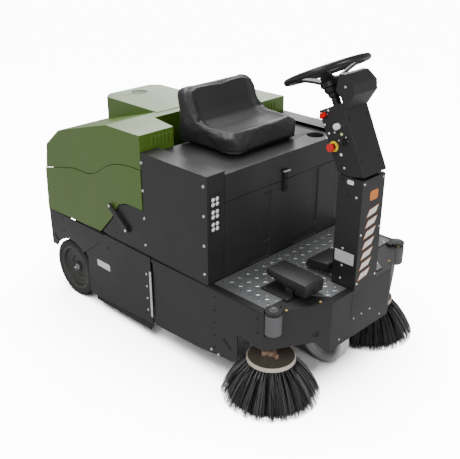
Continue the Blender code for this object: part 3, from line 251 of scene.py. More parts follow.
COPPER = surface("copper_block", (0.62, 0.40, 0.30), 0.38, metallic=0.5, mottle=0.20, scale=50.0,
    grain=300.0, bump=0.20)
CREAM = surface("brush_block", (0.72, 0.64, 0.53), 0.48, mottle=0.12, scale=30.0, grain=400.0, bump=0.20)
UMBER = surface("brush_top", (0.085, 0.072, 0.055), 0.60, mottle=0.45, scale=45.0, grain=260.0, bump=0.45)
# Filament tones from near black to pale grey: partly real lighter filaments, partly painted highlight
# streaks on the tufts
BRISTLE_WITH_PAINTED_HIGHLIGHT = filament("brush_bristle", (0.0070, 0.0070, 0.0075), (0.30, 0.30, 0.31))
BROOM = filament("broom_bristle", (0.008, 0.008, 0.009), (0.07, 0.07, 0.075))
RED = surface("control_red", (0.74, 0.006, 0.006), 0.30, mottle=0.10, scale=40.0, grain=500.0, bump=0.05,
    coat=0.4)
YELLOW = surface("control_yellow", (0.95, 0.68, 0.015), 0.36, mottle=0.08, scale=40.0, grain=500.0,
    bump=0.05)
WHITE = surface("label_white", (0.92, 0.92, 0.91), 0.42, mottle=0.05, scale=40.0, grain=600.0, bump=0.05)
ORANGE = surface("stripe_orange", (0.78, 0.24, 0.035), 0.42, mottle=0.08, scale=40.0, grain=600.0,
    bump=0.05)
LAMP = surface("lamp_lens", (0.80, 0.85, 0.35), 0.18, mottle=0.05, scale=80.0, grain=500.0, bump=0.03,
    coat=0.6)
PAPER = surface("filter_paper", (0.66, 0.61, 0.47), 0.85, mottle=0.15, scale=30.0, grain=300.0, bump=0.30)
# Flat black: the real black of the sign plate, the nose seam and the brush core, and painted shade where it
# stands in for holes, slots and shadow lines
BLACK_AND_PAINTED_SHADE = surface("black_and_painted_shade", (0.008, 0.008, 0.008), 0.70, mottle=0.20, scale=20.0, grain=400.0, bump=0.20)


# ---- mesh helpers
def piece(name, bm, material, body, slot=None, bevel=0.0, segments=2, angle=30.0):
    """A new object from a bmesh, in the row frame, that rides on a body."""
    bmesh.ops.recalc_face_normals(bm, faces=bm.faces)
    mesh = bpy.data.meshes.new(name)
    bm.to_mesh(mesh)
    bm.free()
    return dressed(bpy.data.objects.new(name, mesh), material, body, bevel, segments, angle)


def dressed(obj, material, body, bevel=0.0, segments=2, angle=30.0):
    bpy.context.scene.collection.objects.link(obj)
    obj.data.materials.clear()
    obj.data.materials.append(material)
    obj.data.shade_smooth()
    obj.data.set_sharp_from_angle(angle=math.radians(angle + 8.0))
    if bevel:
        rounding = obj.modifiers.new("round", "BEVEL")
        rounding.width = bevel
        rounding.segments = segments
        rounding.limit_method = "ANGLE"
        rounding.angle_limit = math.radians(angle)
        rounding.harden_normals = True
    if body:
        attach(obj, body)
    return obj


def refined(name, material, slot, bevel=0.0, segments=2, angle=30.0):
    """The CAD node's own shape with rounded edges, which stands for it."""
    source = frame["nodes"][name]
    body = body_of(source)[0]
    bm = bmesh.new()
    bm.from_mesh(source.data)
    bmesh.ops.remove_doubles(bm, verts=bm.verts, dist=0.00002)
    bmesh.ops.dissolve_limit(bm, angle_limit=math.radians(0.6), verts=bm.verts, edges=bm.edges)
    made = piece(f"{name}_skin", bm, material, body, slot, bevel, segments, angle)
    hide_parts(name)
    return made


def put_box(bm, low, high, turn=None):
    """A block between two corners; turn is a matrix about its middle."""
    low, high = Vector(low), Vector(high)
    place = Matrix.Translation((low + high) / 2)
    if turn is not None:
        place = place @ turn
    size = high - low
    bmesh.ops.create_cube(bm, size=1.0, matrix=place @ Matrix.Diagonal((*size, 1.0)))


def facing(centre, axis):
    """A matrix that puts local Z along the axis, at the centre."""
    return Matrix.Translation(Vector(centre)) @ Vector(axis).to_track_quat("Z", "Y").to_matrix().to_4x4()


def put_turned(bm, profile, place, steps=32):
    """A profile of (radius, height) points turned about the place's local Z. Points on the axis close it."""
    closed = profile[0] == profile[-1]
    points = profile[:-1] if closed else profile
    rings = []
    for radius, height in points:
        if radius < 1e-6:
            rings.append([bm.verts.new(place @ Vector((0, 0, height)))])
            continue
        ring = []
        for step in range(steps):
            angle = 2 * math.pi * step / steps
            ring.append(bm.verts.new(place @ Vector(
                (radius * math.cos(angle), radius * math.sin(angle), height))))
        rings.append(ring)
    if closed:
        rings.append(rings[0])
    for first, second in zip(rings, rings[1:]):
        for step in range(steps):
            after = (step + 1) % steps
            corners = [first[step % len(first)], first[after % len(first)], second[after % len(second)],
                second[step % len(second)]]
            unique = list(dict.fromkeys(corners))
            if len(unique) > 2:
                bm.faces.new(unique)


def put_prism(bm, outline, axis, low, high):
    """A flat outline extruded along X, Y or Z; its two numbers are the other two axes in order."""
    index = "XYZ".index(axis)

    def corner(u, v, depth):
        values = [u, v]
        values.insert(index, depth)
        return bm.verts.new(values)

    bottom = [corner(u, v, low) for u, v in outline]
    top = [corner(u, v, high) for u, v in outline]
    bm.faces.new(bottom)
    bm.faces.new(top)
    for step in range(len(outline)):
        after = (step + 1) % len(outline)
        bm.faces.new((bottom[step], bottom[after], top[after], top[step]))


def put_strand(bm_data, points, radii):
    """A three-sided tapering strand along points, added to (vertices, faces)."""
    vertices, faces = bm_data
    start = len(vertices)
    for index, (point, radius) in enumerate(zip(points, radii)):
        ahead = points[min(index + 1, len(points) - 1)] - points[max(index - 1, 0)]
        side = ahead.orthogonal().normalized()
        other = ahead.cross(side).normalized()
        for step in range(3):
            angle = 2 * math.pi * step / 3
            vertices.append(point + side * radius * math.cos(angle) + other * radius * math.sin(angle))
    for index in range(len(points) - 1):
        base = start + index * 3
        for step in range(3):
            after = (step + 1) % 3
            faces.append((base + step, base + after, base + 3 + after, base + 3 + step))
    faces.append((start + 2, start + 1, start))
    last = start + 3 * (len(points) - 1)
    faces.append((last, last + 1, last + 2))


def strands(name, data, material, body):
    mesh = bpy.data.meshes.new(name)
    mesh.from_pydata([tuple(v) for v in data[0]], [], data[1])
    return dressed(bpy.data.objects.new(name, mesh), material, body)


def rounded_outline(low_u, low_v, high_u, high_v, radius, steps=4):
    """A rectangle's outline with round corners."""
    corners = [(high_u - radius, high_v - radius, 0), (low_u + radius, high_v - radius, 90),
        (low_u + radius, low_v + radius, 180), (high_u - radius, low_v + radius, 270)]
    outline = []
    for u, v, start in corners:
        for step in range(steps + 1):
            angle = math.radians(start + 90 * step / steps)
            outline.append((u + radius * math.cos(angle), v + radius * math.sin(angle)))
    return outline


def single(name, put, shape, *look, **dress):
    """A piece that is one turned, boxed or extruded form."""
    bm = bmesh.new()
    put(bm, *shape)
    return piece(name, bm, *look, **dress)


def middle_of(name):
    low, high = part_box(name)
    return (low + high) / 2


def bolt_profile(radius, height):
    """A domed head with a socket in its middle."""
    return [(0.0, height * 0.45), (radius * 0.36, height * 0.45), (radius * 0.44, height),
        (radius * 0.72, height * 0.94), (radius * 0.95, height * 0.50), (radius, height * 0.10),
        (radius, -0.0004), (0.0, -0.0004)]


def bolts(name, spots, axis, radius, height=None, body="chassis", material=ZINC, slot="tread_metal"):
    """Domed bolt heads standing on a face, in one mesh."""
    bm = bmesh.new()
    for spot in spots:
        put_turned(bm, bolt_profile(radius, height or radius * 0.6), facing(spot, axis), 18)
    return piece(name, bm, material, body, slot)


def holes(name, spots, axis, radius, body="chassis", slot="frame_paint"):
    """Punched holes, shown as thin recessed discs with a rim, painted black as painted shade for their dark
    insides.
    """
    bm = bmesh.new()
    profile = [(0.0, 0.0002), (radius * 0.82, 0.0002), (radius, 0.0005), (radius, -0.0006), (0.0, -0.0006)]
    for spot in spots:
        put_turned(bm, profile, facing(spot, axis), 18)
    return piece(name, bm, BLACK_AND_PAINTED_SHADE, body, slot)


# ---- sheet metal, mouldings and inner pieces
SKINS = {"accelerator_pedal": (PANEL, "black_panel", 0.0008),
    "axle_bracket": (PAINT, "frame_paint", 0.0015), "battery_pack": (PANEL, "black_panel", 0.0),
    "brake_pedal": (PANEL, "black_panel", 0.0008), "broom_arm": (PAINT, "frame_paint", 0.0008),
    "broom_core": (SMOOTH, "black_panel", 0.0), "broom_door": (PAINT, "frame_paint", 0.0008),
    "brush_arm": (PAINT, "frame_paint", 0.0), "column_base": (PAINT, "frame_paint", 0.0012),
    "corner_cap": (PAINT, "frame_paint", 0.0008), "corner_roller": (ROLLER, "grey_rubber", 0.0),
    "dash_housing": (PANEL, "black_panel", 0.0012), "deck_latch": (RUBBER, "strap_rubber", 0.0008),
    "deck_pan": (PAINT, "frame_paint", 0.0008), "filter_element": (PAPER, "filter_paper", 0.0),
    "front_bumper": (PAINT, "frame_paint", 0.0010), "hopper_bin": (PANEL, "black_panel", 0.0020),
    "hopper_handle": (SMOOTH, "black_panel", 0.0030), "ladder_frame": (PAINT, "frame_paint", 0.0020),
    "lower_hood": (GREEN, "green_moulding", 0.0010), "pedal_base": (PAINT, "frame_paint", 0.0008),
    "pull_knob": (WHITE, "control_white", 0.0012), "rear_panel": (PAINT, "frame_paint", 0.0008),
    "seat_box": (PAINT, "frame_paint", 0.0009), "seat_deck": (PANEL, "black_panel", 0.0012),
    "seat_pan": (PANEL, "black_panel", 0.0), "selector_knob": (SMOOTH, "black_panel", 0.0012),
    "side_lever": (PAINT, "frame_paint", 0.0010), "side_panel": (PAINT, "frame_paint", 0.0008),
    "steer_fork": (PAINT, "frame_paint", 0.0015), "tread_plate": (TREAD, "tread_metal", 0.0006),
    "upper_column": (PAINT, "frame_paint", 0.0012), "upper_hood": (GREEN, "green_moulding", 0.0016),
    "vacuum_fan": (PANEL, "black_panel", 0.0), "estop_button": (RED, "control_red", 0.0012),
    "key_switch": (RED, "control_red", 0.0010)}
HOOD_FACET_ANGLE = 14.0
for cad_node in frame["nodes"]:
    kind = cad_node.removesuffix("_r").removesuffix("_l")
    if kind in SKINS:
        material, slot, bevel = SKINS[kind]
        refined(cad_node, material, slot, bevel, angle=HOOD_FACET_ANGLE if material is GREEN else 30.0)


def shell_of(name):
    """A tree for finding places on a CAD node's surface."""
    bm = bmesh.new()
    bm.from_mesh(frame["nodes"][name].data)
    tree = BVHTree.FromBMesh(bm)
    bm.free()
    return tree


def on_surface(tree, start, direction):
    place, normal, _, _ = tree.ray_cast(Vector(start), Vector(direction).normalized())
    return place, normal


SIDES = (("r", -1.0), ("l", 1.0))


# ---- hood louvres and recess
def hood_details():
    tree = shell_of("upper_hood")
    for side, sign in SIDES:
        bm = bmesh.new()
        for count in range(6):
            x = sign * (0.300 + 0.022 * count)
            low = on_surface(tree, (x, -0.3, 0.985), (0, 1, 0))[0]
            high = on_surface(tree, (x, -0.3, 1.020), (0, 1, 0))[0]
            if low is None or high is None:
                continue
            rise = high - low
            turn = Matrix.Rotation(-math.atan2(rise.y, rise.z), 4, "X")
            middle = (low + high) / 2
            half = Vector((0.0060, 0.0042, rise.length / 2 + 0.006))
            put_box(bm, middle - half, middle + half, turn)
        piece(f"hood_louvres_{side}", bm, GREEN, "upper_hood", "green_moulding", bevel=0.003, segments=3)
    # The hood's round recess, drawn as a thin ring in the darker green: painted shade for the recess
    spot, _ = on_surface(tree, (0, 0.641, 2.0), (0, 0, -1))
    bm = bmesh.new()
    ring = [(0.0, 0.0008), (0.030, 0.0010), (0.0355, 0.0026), (0.0395, 0.0014), (0.0415, -0.0006),
        (0.0, -0.0006)]
    put_turned(bm, ring, facing(spot, (0, 0, 1)), 48)
    piece("hood_boss", bm, GREEN_PAINTED_SHADE, "upper_hood", "green_moulding")


hood_details()


# ---- tread plate bars
def tread_bars():
    tree = shell_of("tread_plate")
    keep_clear = [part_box(name) for name in ("column_base", "pedal_base")]
    pitch = 0.052
    length = 0.0125
    width = 0.0034
    bm = bmesh.new()

    def clear(x, y):
        margin = 0.006
        return not any(
            low.x - margin < x < high.x + margin and low.y - margin < y < high.y + margin for low,
            high in keep_clear)

    def on_plate(x, y):
        place, _ = on_surface(tree, (x, y, 1.0), (0, 0, -1))
        return place is not None and place.z > DECK_TOP - 0.0002 and clear(x, y)

    for row in range(-10, 11):
        for column in range(-10, 11):
            for offset, angle in ((0.0, 45.0), (0.5, -45.0)):
                x = (column + offset) * pitch
                y = TREAD_LOW.y + 0.2 + (row + offset) * pitch
                along = Vector((math.cos(math.radians(angle)), math.sin(math.radians(angle)), 0))
                ends = [Vector((x, y, 0)) + along * length * 1.15 * sign for sign in (-1, 1)]
                if not (on_plate(x, y) and all(on_plate(end.x, end.y) for end in ends)):
                    continue
                side = Vector((-along.y, along.x, 0))
                rim = []
                for step in range(12):
                    turn = 2 * math.pi * step / 12
                    rim.append(along * length * math.cos(turn) + side * width * math.sin(turn))
                base = [bm.verts.new(Vector((x, y, DECK_TOP - 0.0002)) + v) for v in rim]
                top = [bm.verts.new(Vector((x, y, DECK_TOP + 0.0012)) + v * 0.72) for v in rim]
                bm.faces.new(top)
                for step in range(12):
                    after = (step + 1) % 12
                    bm.faces.new((base[step], base[after], top[after], top[step]))
    piece("tread_bars", bm, RAISED, "chassis", "tread_metal")


tread_bars()


# ---- wheels
def wheel(tyre, rim, body, outward, tyre_material, tyre_slot, rim_material, scale_tread):
    """A tyre and a dished rim, turned at a high resolution about the axle."""
    low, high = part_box(tyre)
    centre = (low + high) / 2
    radius = (high.z - low.z) / 2
    half = (high.x - low.x) / 2
    rim_low, rim_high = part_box(rim)
    inner = (rim_high.z - rim_low.z) / 2
    rim_half = (rim_high.x - rim_low.x) / 2
    place = facing(centre, (outward, 0, 0))
    wall = radius - inner
    tread = []
    for groove in (0.55, 0.0, -0.55):
        middle = groove * half
        tread += [(radius, middle + 0.0030), (radius - scale_tread, middle + 0.0018)]
        tread += [(radius - scale_tread, middle - 0.0018), (radius, middle - 0.0030)]
    section = [(inner, half * 0.86), (inner + wall * 0.12, half * 0.97), (inner + wall * 0.40, half),
        (radius - wall * 0.30, half * 0.97), (radius - wall * 0.08, half * 0.88), (radius, half * 0.74),
        *tread, (radius, -half * 0.74), (radius - wall * 0.08, -half * 0.88),
        (radius - wall * 0.30, -half * 0.97), (inner + wall * 0.40, -half),
        (inner + wall * 0.12, -half * 0.97), (inner, -half * 0.86), (inner, half * 0.86)]
    made = single(f"{tyre}_skin", put_turned, (section, place, 96), tyre_material, body, tyre_slot)
    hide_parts(tyre)
    dish = [(0.0, rim_half * 0.42), (inner * 0.17, rim_half * 0.42), (inner * 0.20, rim_half * 0.34),
        (inner * 0.22, rim_half * 0.02), (inner * 0.27, -rim_half * 0.10),
        (inner * 0.46, -rim_half * 0.12), (inner * 0.50, rim_half * 0.10), (inner * 0.68, rim_half * 0.12),
        (inner * 0.73, rim_half * 0.30), (inner * 0.83, rim_half * 0.34), (inner * 0.88, rim_half * 0.80),
        (inner * 0.95, rim_half * 0.95), (inner * 0.999, rim_half * 0.97),
        (inner * 0.999, -rim_half * 0.97), (inner * 0.90, -rim_half * 0.92),
        (inner * 0.84, -rim_half * 0.55), (0.0, -rim_half * 0.50)]
    made = single(f"{rim}_skin", put_turned, (dish, place, 96), rim_material, body, "wheel_paint")
    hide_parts(rim)
    bm = bmesh.new()
    nut = [(0.0, 0.012), (0.0085, 0.012), (0.0095, 0.0105), (0.0095, -0.001), (0.0, -0.001)]
    stud = place @ Matrix.Translation((0, 0, rim_half * 0.42))
    put_turned(bm, nut, stud, 6)
    put_turned(bm, [(0.0, 0.002), (0.0135, 0.002), (0.0145, 0.0), (0.0, 0.0)], stud, 32)
    put_turned(bm, [(0.0, 0.018), (0.0045, 0.018), (0.0055, 0.0165), (0.0055, 0.0), (0.0, 0.0)], stud, 20)
    piece(f"{rim}_nut", bm, ZINC, body, "tread_metal")


WHEEL_PAINT = surface("wheel_paint", (0.020, 0.020, 0.021), 0.42, mottle=0.18, grain=700.0, bump=0.15,
    dust=0.20)
FRONT_RIM = surface("front_rim_paint", (0.76, 0.76, 0.77), 0.44, mottle=0.15, scale=15.0, grain=400.0,
    bump=0.15)
for side, sign in SIDES:
    wheel(f"rear_tyre_{side}", f"rear_rim_{side}", f"rear_wheel_{side}", sign, RUBBER, "tyre_rubber",
        WHEEL_PAINT, 0.0035)
wheel("front_tyre", "front_rim", "front_wheel", -1.0, PALE, "pale_tyre", FRONT_RIM, 0.0020)


# ---- steering wheel
def steering_wheel():
    axis = joint_axis("steering_shaft")
    if axis.z < 0:
        axis = -axis
    low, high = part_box("steering_wheel")
    across = (high.x - low.x) / 2
    tube = 0.0135
    ring = across - tube
    hub = Vector((0, -0.58632, 1.35935))
    tilt = Vector((0, axis.z, -axis.y))
    basis = Matrix(((1, 0, 0), tilt, axis)).transposed().to_4x4()
    place = Matrix.Translation(hub) @ basis
    bm = bmesh.new()
    rim = []
    for step in range(17):
        angle = 2 * math.pi * step / 16
        rim.append((ring + tube * math.cos(angle), tube * math.sin(angle)))
    put_turned(bm, rim[:-1] + [rim[0]], place, 96)
    made = piece("steering_rim", bm, SMOOTH, "steering_wheel", "grip_plastic")
    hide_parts("steering_wheel")
    bm = bmesh.new()
    for angle in (90, 210, 330):
        turn = math.radians(angle)
        outward = Vector((math.cos(turn), math.sin(turn), 0))
        sideways = Vector((-outward.y, outward.x, 0))
        rings = []
        for share in range(9):
            t = share / 8
            reach = 0.030 + (ring - 0.034) * t
            lift = -0.045 * (1.0 - t) ** 1.4 - 0.001
            width = 0.029 - 0.012 * t
            thick = 0.0062
            middle = outward * reach + Vector((0, 0, lift))
            corners = ((-1, -1), (1, -1), (1, 1), (-1, 1))
            rings.append([bm.verts.new(place @ (middle + sideways * width * u + Vector(
                (0, 0, thick * v)))) for u, v in corners])
        for first, second in zip(rings, rings[1:]):
            for step in range(4):
                after = (step + 1) % 4
                bm.faces.new((first[step], first[after], second[after], second[step]))
        bm.faces.new(rings[0])
        bm.faces.new(rings[-1])
    piece("steering_spokes", bm, PANEL, "steering_wheel", "grip_plastic", bevel=0.002)
    bm = bmesh.new()
    boss = [(0.0, -0.031), (0.030, -0.031), (0.036, -0.034), (0.044, -0.040), (0.045, -0.065),
        (0.036, -0.070)]
    boss += [(0.034, -0.088), (0.026, -0.094), (0.024, -0.110), (0.018, -0.114), (0.018, -0.160),
        (0.0, -0.160)]
    put_turned(bm, boss, place, 48)
    piece("steering_hub", bm, SMOOTH, "steering_wheel", "grip_plastic")
    single("steering_badge", put_turned, ([(0.0, -0.0285), (0.022, -0.0285), (0.026, -0.030),
        (0.027, -0.0325), (0.0, -0.0325)], place, 40), PANEL, "steering_wheel", "grip_plastic")


steering_wheel()


# ---- side brushes and main broom
def brush(side):
    body = f"side_brush_{side}"
    low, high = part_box(f"brush_disc_{side}")
    centre_x, centre_y = (low.x + high.x) / 2, (low.y + high.y) / 2
    radius = (high.x - low.x) / 2
    axis = Matrix.Translation((centre_x, centre_y, 0))
    bm = bmesh.new()
    rim = [(radius - 0.005, 0.1935), (radius - 0.003, 0.1930), (radius, 0.1900), (radius, 0.1760),
        (radius - 0.003, 0.1735), (0.060, 0.1732), (0.060, 0.1800), (radius - 0.005, 0.1850),
        (radius - 0.005, 0.1935)]
    put_turned(bm, rim, axis, 96)
    piece(f"brush_ring_{side}", bm, CREAM, body, "brush_block")
    bm = bmesh.new()
    top = [(0.0, 0.1975), (0.026, 0.1975), (0.030, 0.1955), (0.080, 0.1948), (radius - 0.006, 0.1930),
        (radius - 0.0065, 0.1860), (0.0, 0.1860)]
    put_turned(bm, top, axis, 96)
    made = piece(f"brush_top_{side}", bm, UMBER, body, "brush_block")
    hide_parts(f"brush_disc_{side}")
    bm = bmesh.new()
    for turn in (0.35, 0.35 + math.pi * 2 / 3, 0.35 + math.pi * 4 / 3):
        spot = Vector((centre_x + 0.030 * math.cos(turn), centre_y + 0.030 * math.sin(turn), 0.203))
        put_box(bm, spot - Vector((0.012, 0.008, 0.010)), spot + Vector((0.012, 0.008, 0.010)),
            Matrix.Rotation(turn, 4, "Z"))
    put_turned(bm, [(0.0, 0.2148), (0.018, 0.2148), (0.022, 0.2130), (0.022, 0.1970), (0.0, 0.1970)], axis,
        32)
    piece(f"brush_clamp_{side}", bm, COPPER, body, "brush_block", bevel=0.0015)

    bm = bmesh.new()
    motor = [(0.0, 0.3295), (0.030, 0.3295), (0.034, 0.3265), (0.034, 0.2900), (0.028, 0.2860),
        (0.014, 0.2840)]
    motor += [(0.014, 0.2600), (0.0085, 0.2580), (0.0085, 0.2165), (0.0, 0.2165)]
    put_turned(bm, motor, axis, 40)
    made = piece(f"brush_motor_skin_{side}", bm, PAINT, f"side_arm_{side}", "frame_paint")
    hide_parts(f"brush_motor_{side}")

    draw = random.Random(41 if side == "r" else 43)
    bristle_low, bristle_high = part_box(f"brush_bristles_{side}")
    reach = (bristle_high.x - bristle_low.x) / 2
    top_z, floor_z = bristle_high.z, bristle_low.z
    data = ([], [])
    for row, tufts, root, tip, droop in ((0, 46, 0.098, 1.000, 0.62), (1, 38, 0.088, 0.900, 0.58),
            (2, 30, 0.076, 0.780, 0.52)):
        for tuft in range(tufts):
            around = 2 * math.pi * (tuft + 0.5 * (row % 2)) / tufts + draw.uniform(-0.02, 0.02)
            fan = draw.uniform(-0.05, 0.05)
            for _ in range(16):
                out = Vector((math.cos(around), math.sin(around), 0))
                turn = around + fan + draw.gauss(0, 0.045)
                tip_out = Vector((math.cos(turn), math.sin(turn), 0))
                start = Vector((centre_x, centre_y, top_z)) + out * (root + draw.uniform(-0.003, 0.003))
                tip_reach = min(reach * tip * draw.uniform(0.93, 1.03), reach * 0.998)
                end = Vector((centre_x, centre_y, floor_z + 0.0006)) + tip_out * tip_reach
                end.z += draw.uniform(0.0, 0.004)
                bend = start.lerp(end, droop)
                bend.z = top_z + (floor_z - top_z) * 0.36
                points = []
                for step in range(6):
                    t = step / 5
                    points.append(start * (1 - t) ** 2 + bend * 2 * t * (1 - t) + end * t * t)
                put_strand(data, points, [0.0014, 0.0013, 0.0012, 0.0011, 0.0010, 0.0006])
    made = strands(f"brush_tufts_{side}", data, BRISTLE_WITH_PAINTED_HIGHLIGHT, body)
    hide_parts(f"brush_bristles_{side}")
    bm = bmesh.new()
    core = [(0.0, top_z - 0.001), (0.092, top_z - 0.001), (0.130, 0.110), (0.160, 0.060), (0.188, 0.012),
        (0.0, 0.012)]
    put_turned(bm, core, axis, 64)
    piece(f"brush_core_{side}", bm, BLACK_AND_PAINTED_SHADE, body, "bristle")


for side, _ in SIDES:
    brush(side)


def main_broom():
    low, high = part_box("broom_bristles")
    centre = (low + high) / 2
    half = (high.x - low.x) / 2
    radius = (high.z - low.z) / 2
    draw = random.Random(47)
    data = ([], [])
    rows = 10
    for row in range(rows):
        for count in range(70):
            x = centre.x - half + 0.006 + (2 * half - 0.012) * count / 69
            twist = 2 * math.pi * row / rows + 0.9 * abs(x - centre.x) / half
            for _ in range(5):
                angle = twist + draw.gauss(0, 0.05)
                out = Vector((draw.uniform(-0.02, 0.02), math.cos(angle), math.sin(angle)))
                start = Vector((x, centre.y, centre.z)) + out * 0.069
                end = Vector((x, centre.y, centre.z)) + out * (radius - draw.uniform(0.0005, 0.004))
                put_strand(data, [start, start.lerp(end, 0.5), end], [0.0013, 0.0012, 0.0008])
    made = strands("broom_tufts", data, BROOM, "main_broom")
    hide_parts("broom_bristles")


main_broom()


# ---- the seat's cover
def smoothed(bm, rounds):
    for _ in range(rounds):
        bmesh.ops.smooth_vert(bm, verts=bm.verts, factor=0.5, use_axis_x=True, use_axis_y=True,
            use_axis_z=True)


def soft_start(name, inset, voxel, rounds):
    """A slightly smaller, evenly meshed and rounded copy of a soft CAD node."""
    mesh = frame["nodes"][name].data.copy()
    obj = bpy.data.objects.new(f"{name}_soft", mesh)
    bpy.context.scene.collection.objects.link(obj)
    remesh = obj.modifiers.new("even", "REMESH")
    remesh.mode = "VOXEL"
    remesh.voxel_size = voxel
    graph = bpy.context.evaluated_depsgraph_get()
    even = bpy.data.meshes.new_from_object(obj.evaluated_get(graph))
    obj.modifiers.clear()
    bm = bmesh.new()
    bm.from_mesh(even)
    smoothed(bm, rounds)
    bm.normal_update()
    for vert in bm.verts:
        vert.co -= vert.normal * inset
    bm.to_mesh(even)
    bm.free()
    obj.data = even
    return obj


def inflate(obj, most):
    """Blows the cover up with cloth under pressure, and keeps each point within a distance of its start."""
    before = [vert.co.copy() for vert in obj.data.vertices]
    cloth = obj.modifiers.new("cloth", "CLOTH")
    cloth.settings.use_pressure = True
    cloth.settings.uniform_pressure_force = 4.0
    cloth.settings.effector_weights.gravity = 0.0
    cloth.settings.quality = 6
    for number in range(1, 21):
        bpy.context.scene.frame_set(number)
    graph = bpy.context.evaluated_depsgraph_get()
    after = [vert.co.copy() for vert in obj.evaluated_get(graph).data.vertices]
    obj.modifiers.clear()
    bpy.context.scene.frame_set(1)
    for vert, start, end in zip(obj.data.vertices, before, after):
        move = end - start
        if move.length > most:
            move *= most / move.length
        vert.co = start + move


def seat_part(name, seam, body):
    """The CAD bucket's own cover, blown up and drawn in along its seam, inside the bucket's box."""
    obj = soft_start(name, SEAT_INSET, SEAT_VOXEL, SEAT_ROUNDS)
    inflate(obj, SEAT_TRAVEL)
    low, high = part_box(name)
    margin = Vector((0.0004, 0.0004, 0.0004))
    low, high = low + margin, high - margin
    bm = bmesh.new()
    bm.from_mesh(obj.data)
    smoothed(bm, 2)
    bmesh.ops.subdivide_edges(bm, edges=bm.edges, cuts=1, use_grid_fill=True, smooth=0.6)
    bm.normal_update()
    for vert in bm.verts:
        vert.co -= vert.normal * seam(vert.co)
        vert.co = Vector(min(max(value, a), b) for value, a, b in zip(vert.co, low, high))
    bm.to_mesh(obj.data)
    bm.free()
    obj.data.materials.clear()
    obj.data.materials.append(SEAT)
    obj.data.shade_smooth()
    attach(obj, body)
    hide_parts(name)
    return obj


SEAT_INSET = 0.0040
SEAT_VOXEL = 0.0060
SEAT_ROUNDS = 12
SEAT_TRAVEL = 0.010
SEAM_DEPTH = 0.0022
SEAM_WIDTH = 0.0040
SEAT_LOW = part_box("seat_bucket")[0]


def welt(point):
    """A shallow channel round the bucket's foot, where the cover is tucked in."""
    distance = point.z - SEAT_LOW.z - 0.014
    return SEAM_DEPTH * math.exp(-((distance / SEAM_WIDTH) ** 2))


seat_part("seat_bucket", welt, "seat")


# ---- the plastic cover in front of the seat box
def front_cover():
    """The cover with its pressed bands: a plate whose outer face steps inward over each recess."""
    lip = 0.0025
    recesses = [(-0.137, -0.090, 0.560, 0.800), (0.200, 0.246, 0.540, 0.822),
        (-0.236, -0.095, 0.480, 0.548), (0.082, 0.246, 0.480, 0.512)]
    depth = 0.0058
    xs = {COVER_LOW.x, COVER_HIGH.x}
    zs = {COVER_LOW.z, COVER_HIGH.z}
    for x0, x1, z0, z1 in recesses:
        xs |= {x0 - lip, x0 + lip, x1 - lip, x1 + lip}
        zs |= {z0 - lip, z0 + lip, z1 - lip, z1 + lip}

    def depth_at(x, z):
        for x0, x1, z0, z1 in recesses:
            if x0 < x < x1 and z0 < z < z1:
                return depth
        return 0.0

    bm = bmesh.new()
    xs, zs = sorted(xs), sorted(zs)
    grid = [[bm.verts.new((x, COVER_Y + depth_at(x, z), z)) for z in zs] for x in xs]
    back = [[bm.verts.new((x, COVER_HIGH.y, z)) for z in zs] for x in xs]
    columns, rows = len(xs), len(zs)
    for i in range(columns - 1):
        for j in range(rows - 1):
            bm.faces.new((grid[i][j], grid[i + 1][j], grid[i + 1][j + 1], grid[i][j + 1]))
            bm.faces.new((back[i][j], back[i][j + 1], back[i + 1][j + 1], back[i + 1][j]))
    for i in range(columns - 1):
        bm.faces.new((grid[i][0], back[i][0], back[i + 1][0], grid[i + 1][0]))
        bm.faces.new((grid[i][-1], grid[i + 1][-1], back[i + 1][-1], back[i][-1]))
    for j in range(rows - 1):
        bm.faces.new((grid[0][j], grid[0][j + 1], back[0][j + 1], back[0][j]))
        bm.faces.new((grid[-1][j], back[-1][j], back[-1][j + 1], grid[-1][j + 1]))
    made = piece("front_cover", bm, PANEL, "chassis", "black_panel", bevel=0.0018, segments=3)
    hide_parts("seat_box_front")


front_cover()


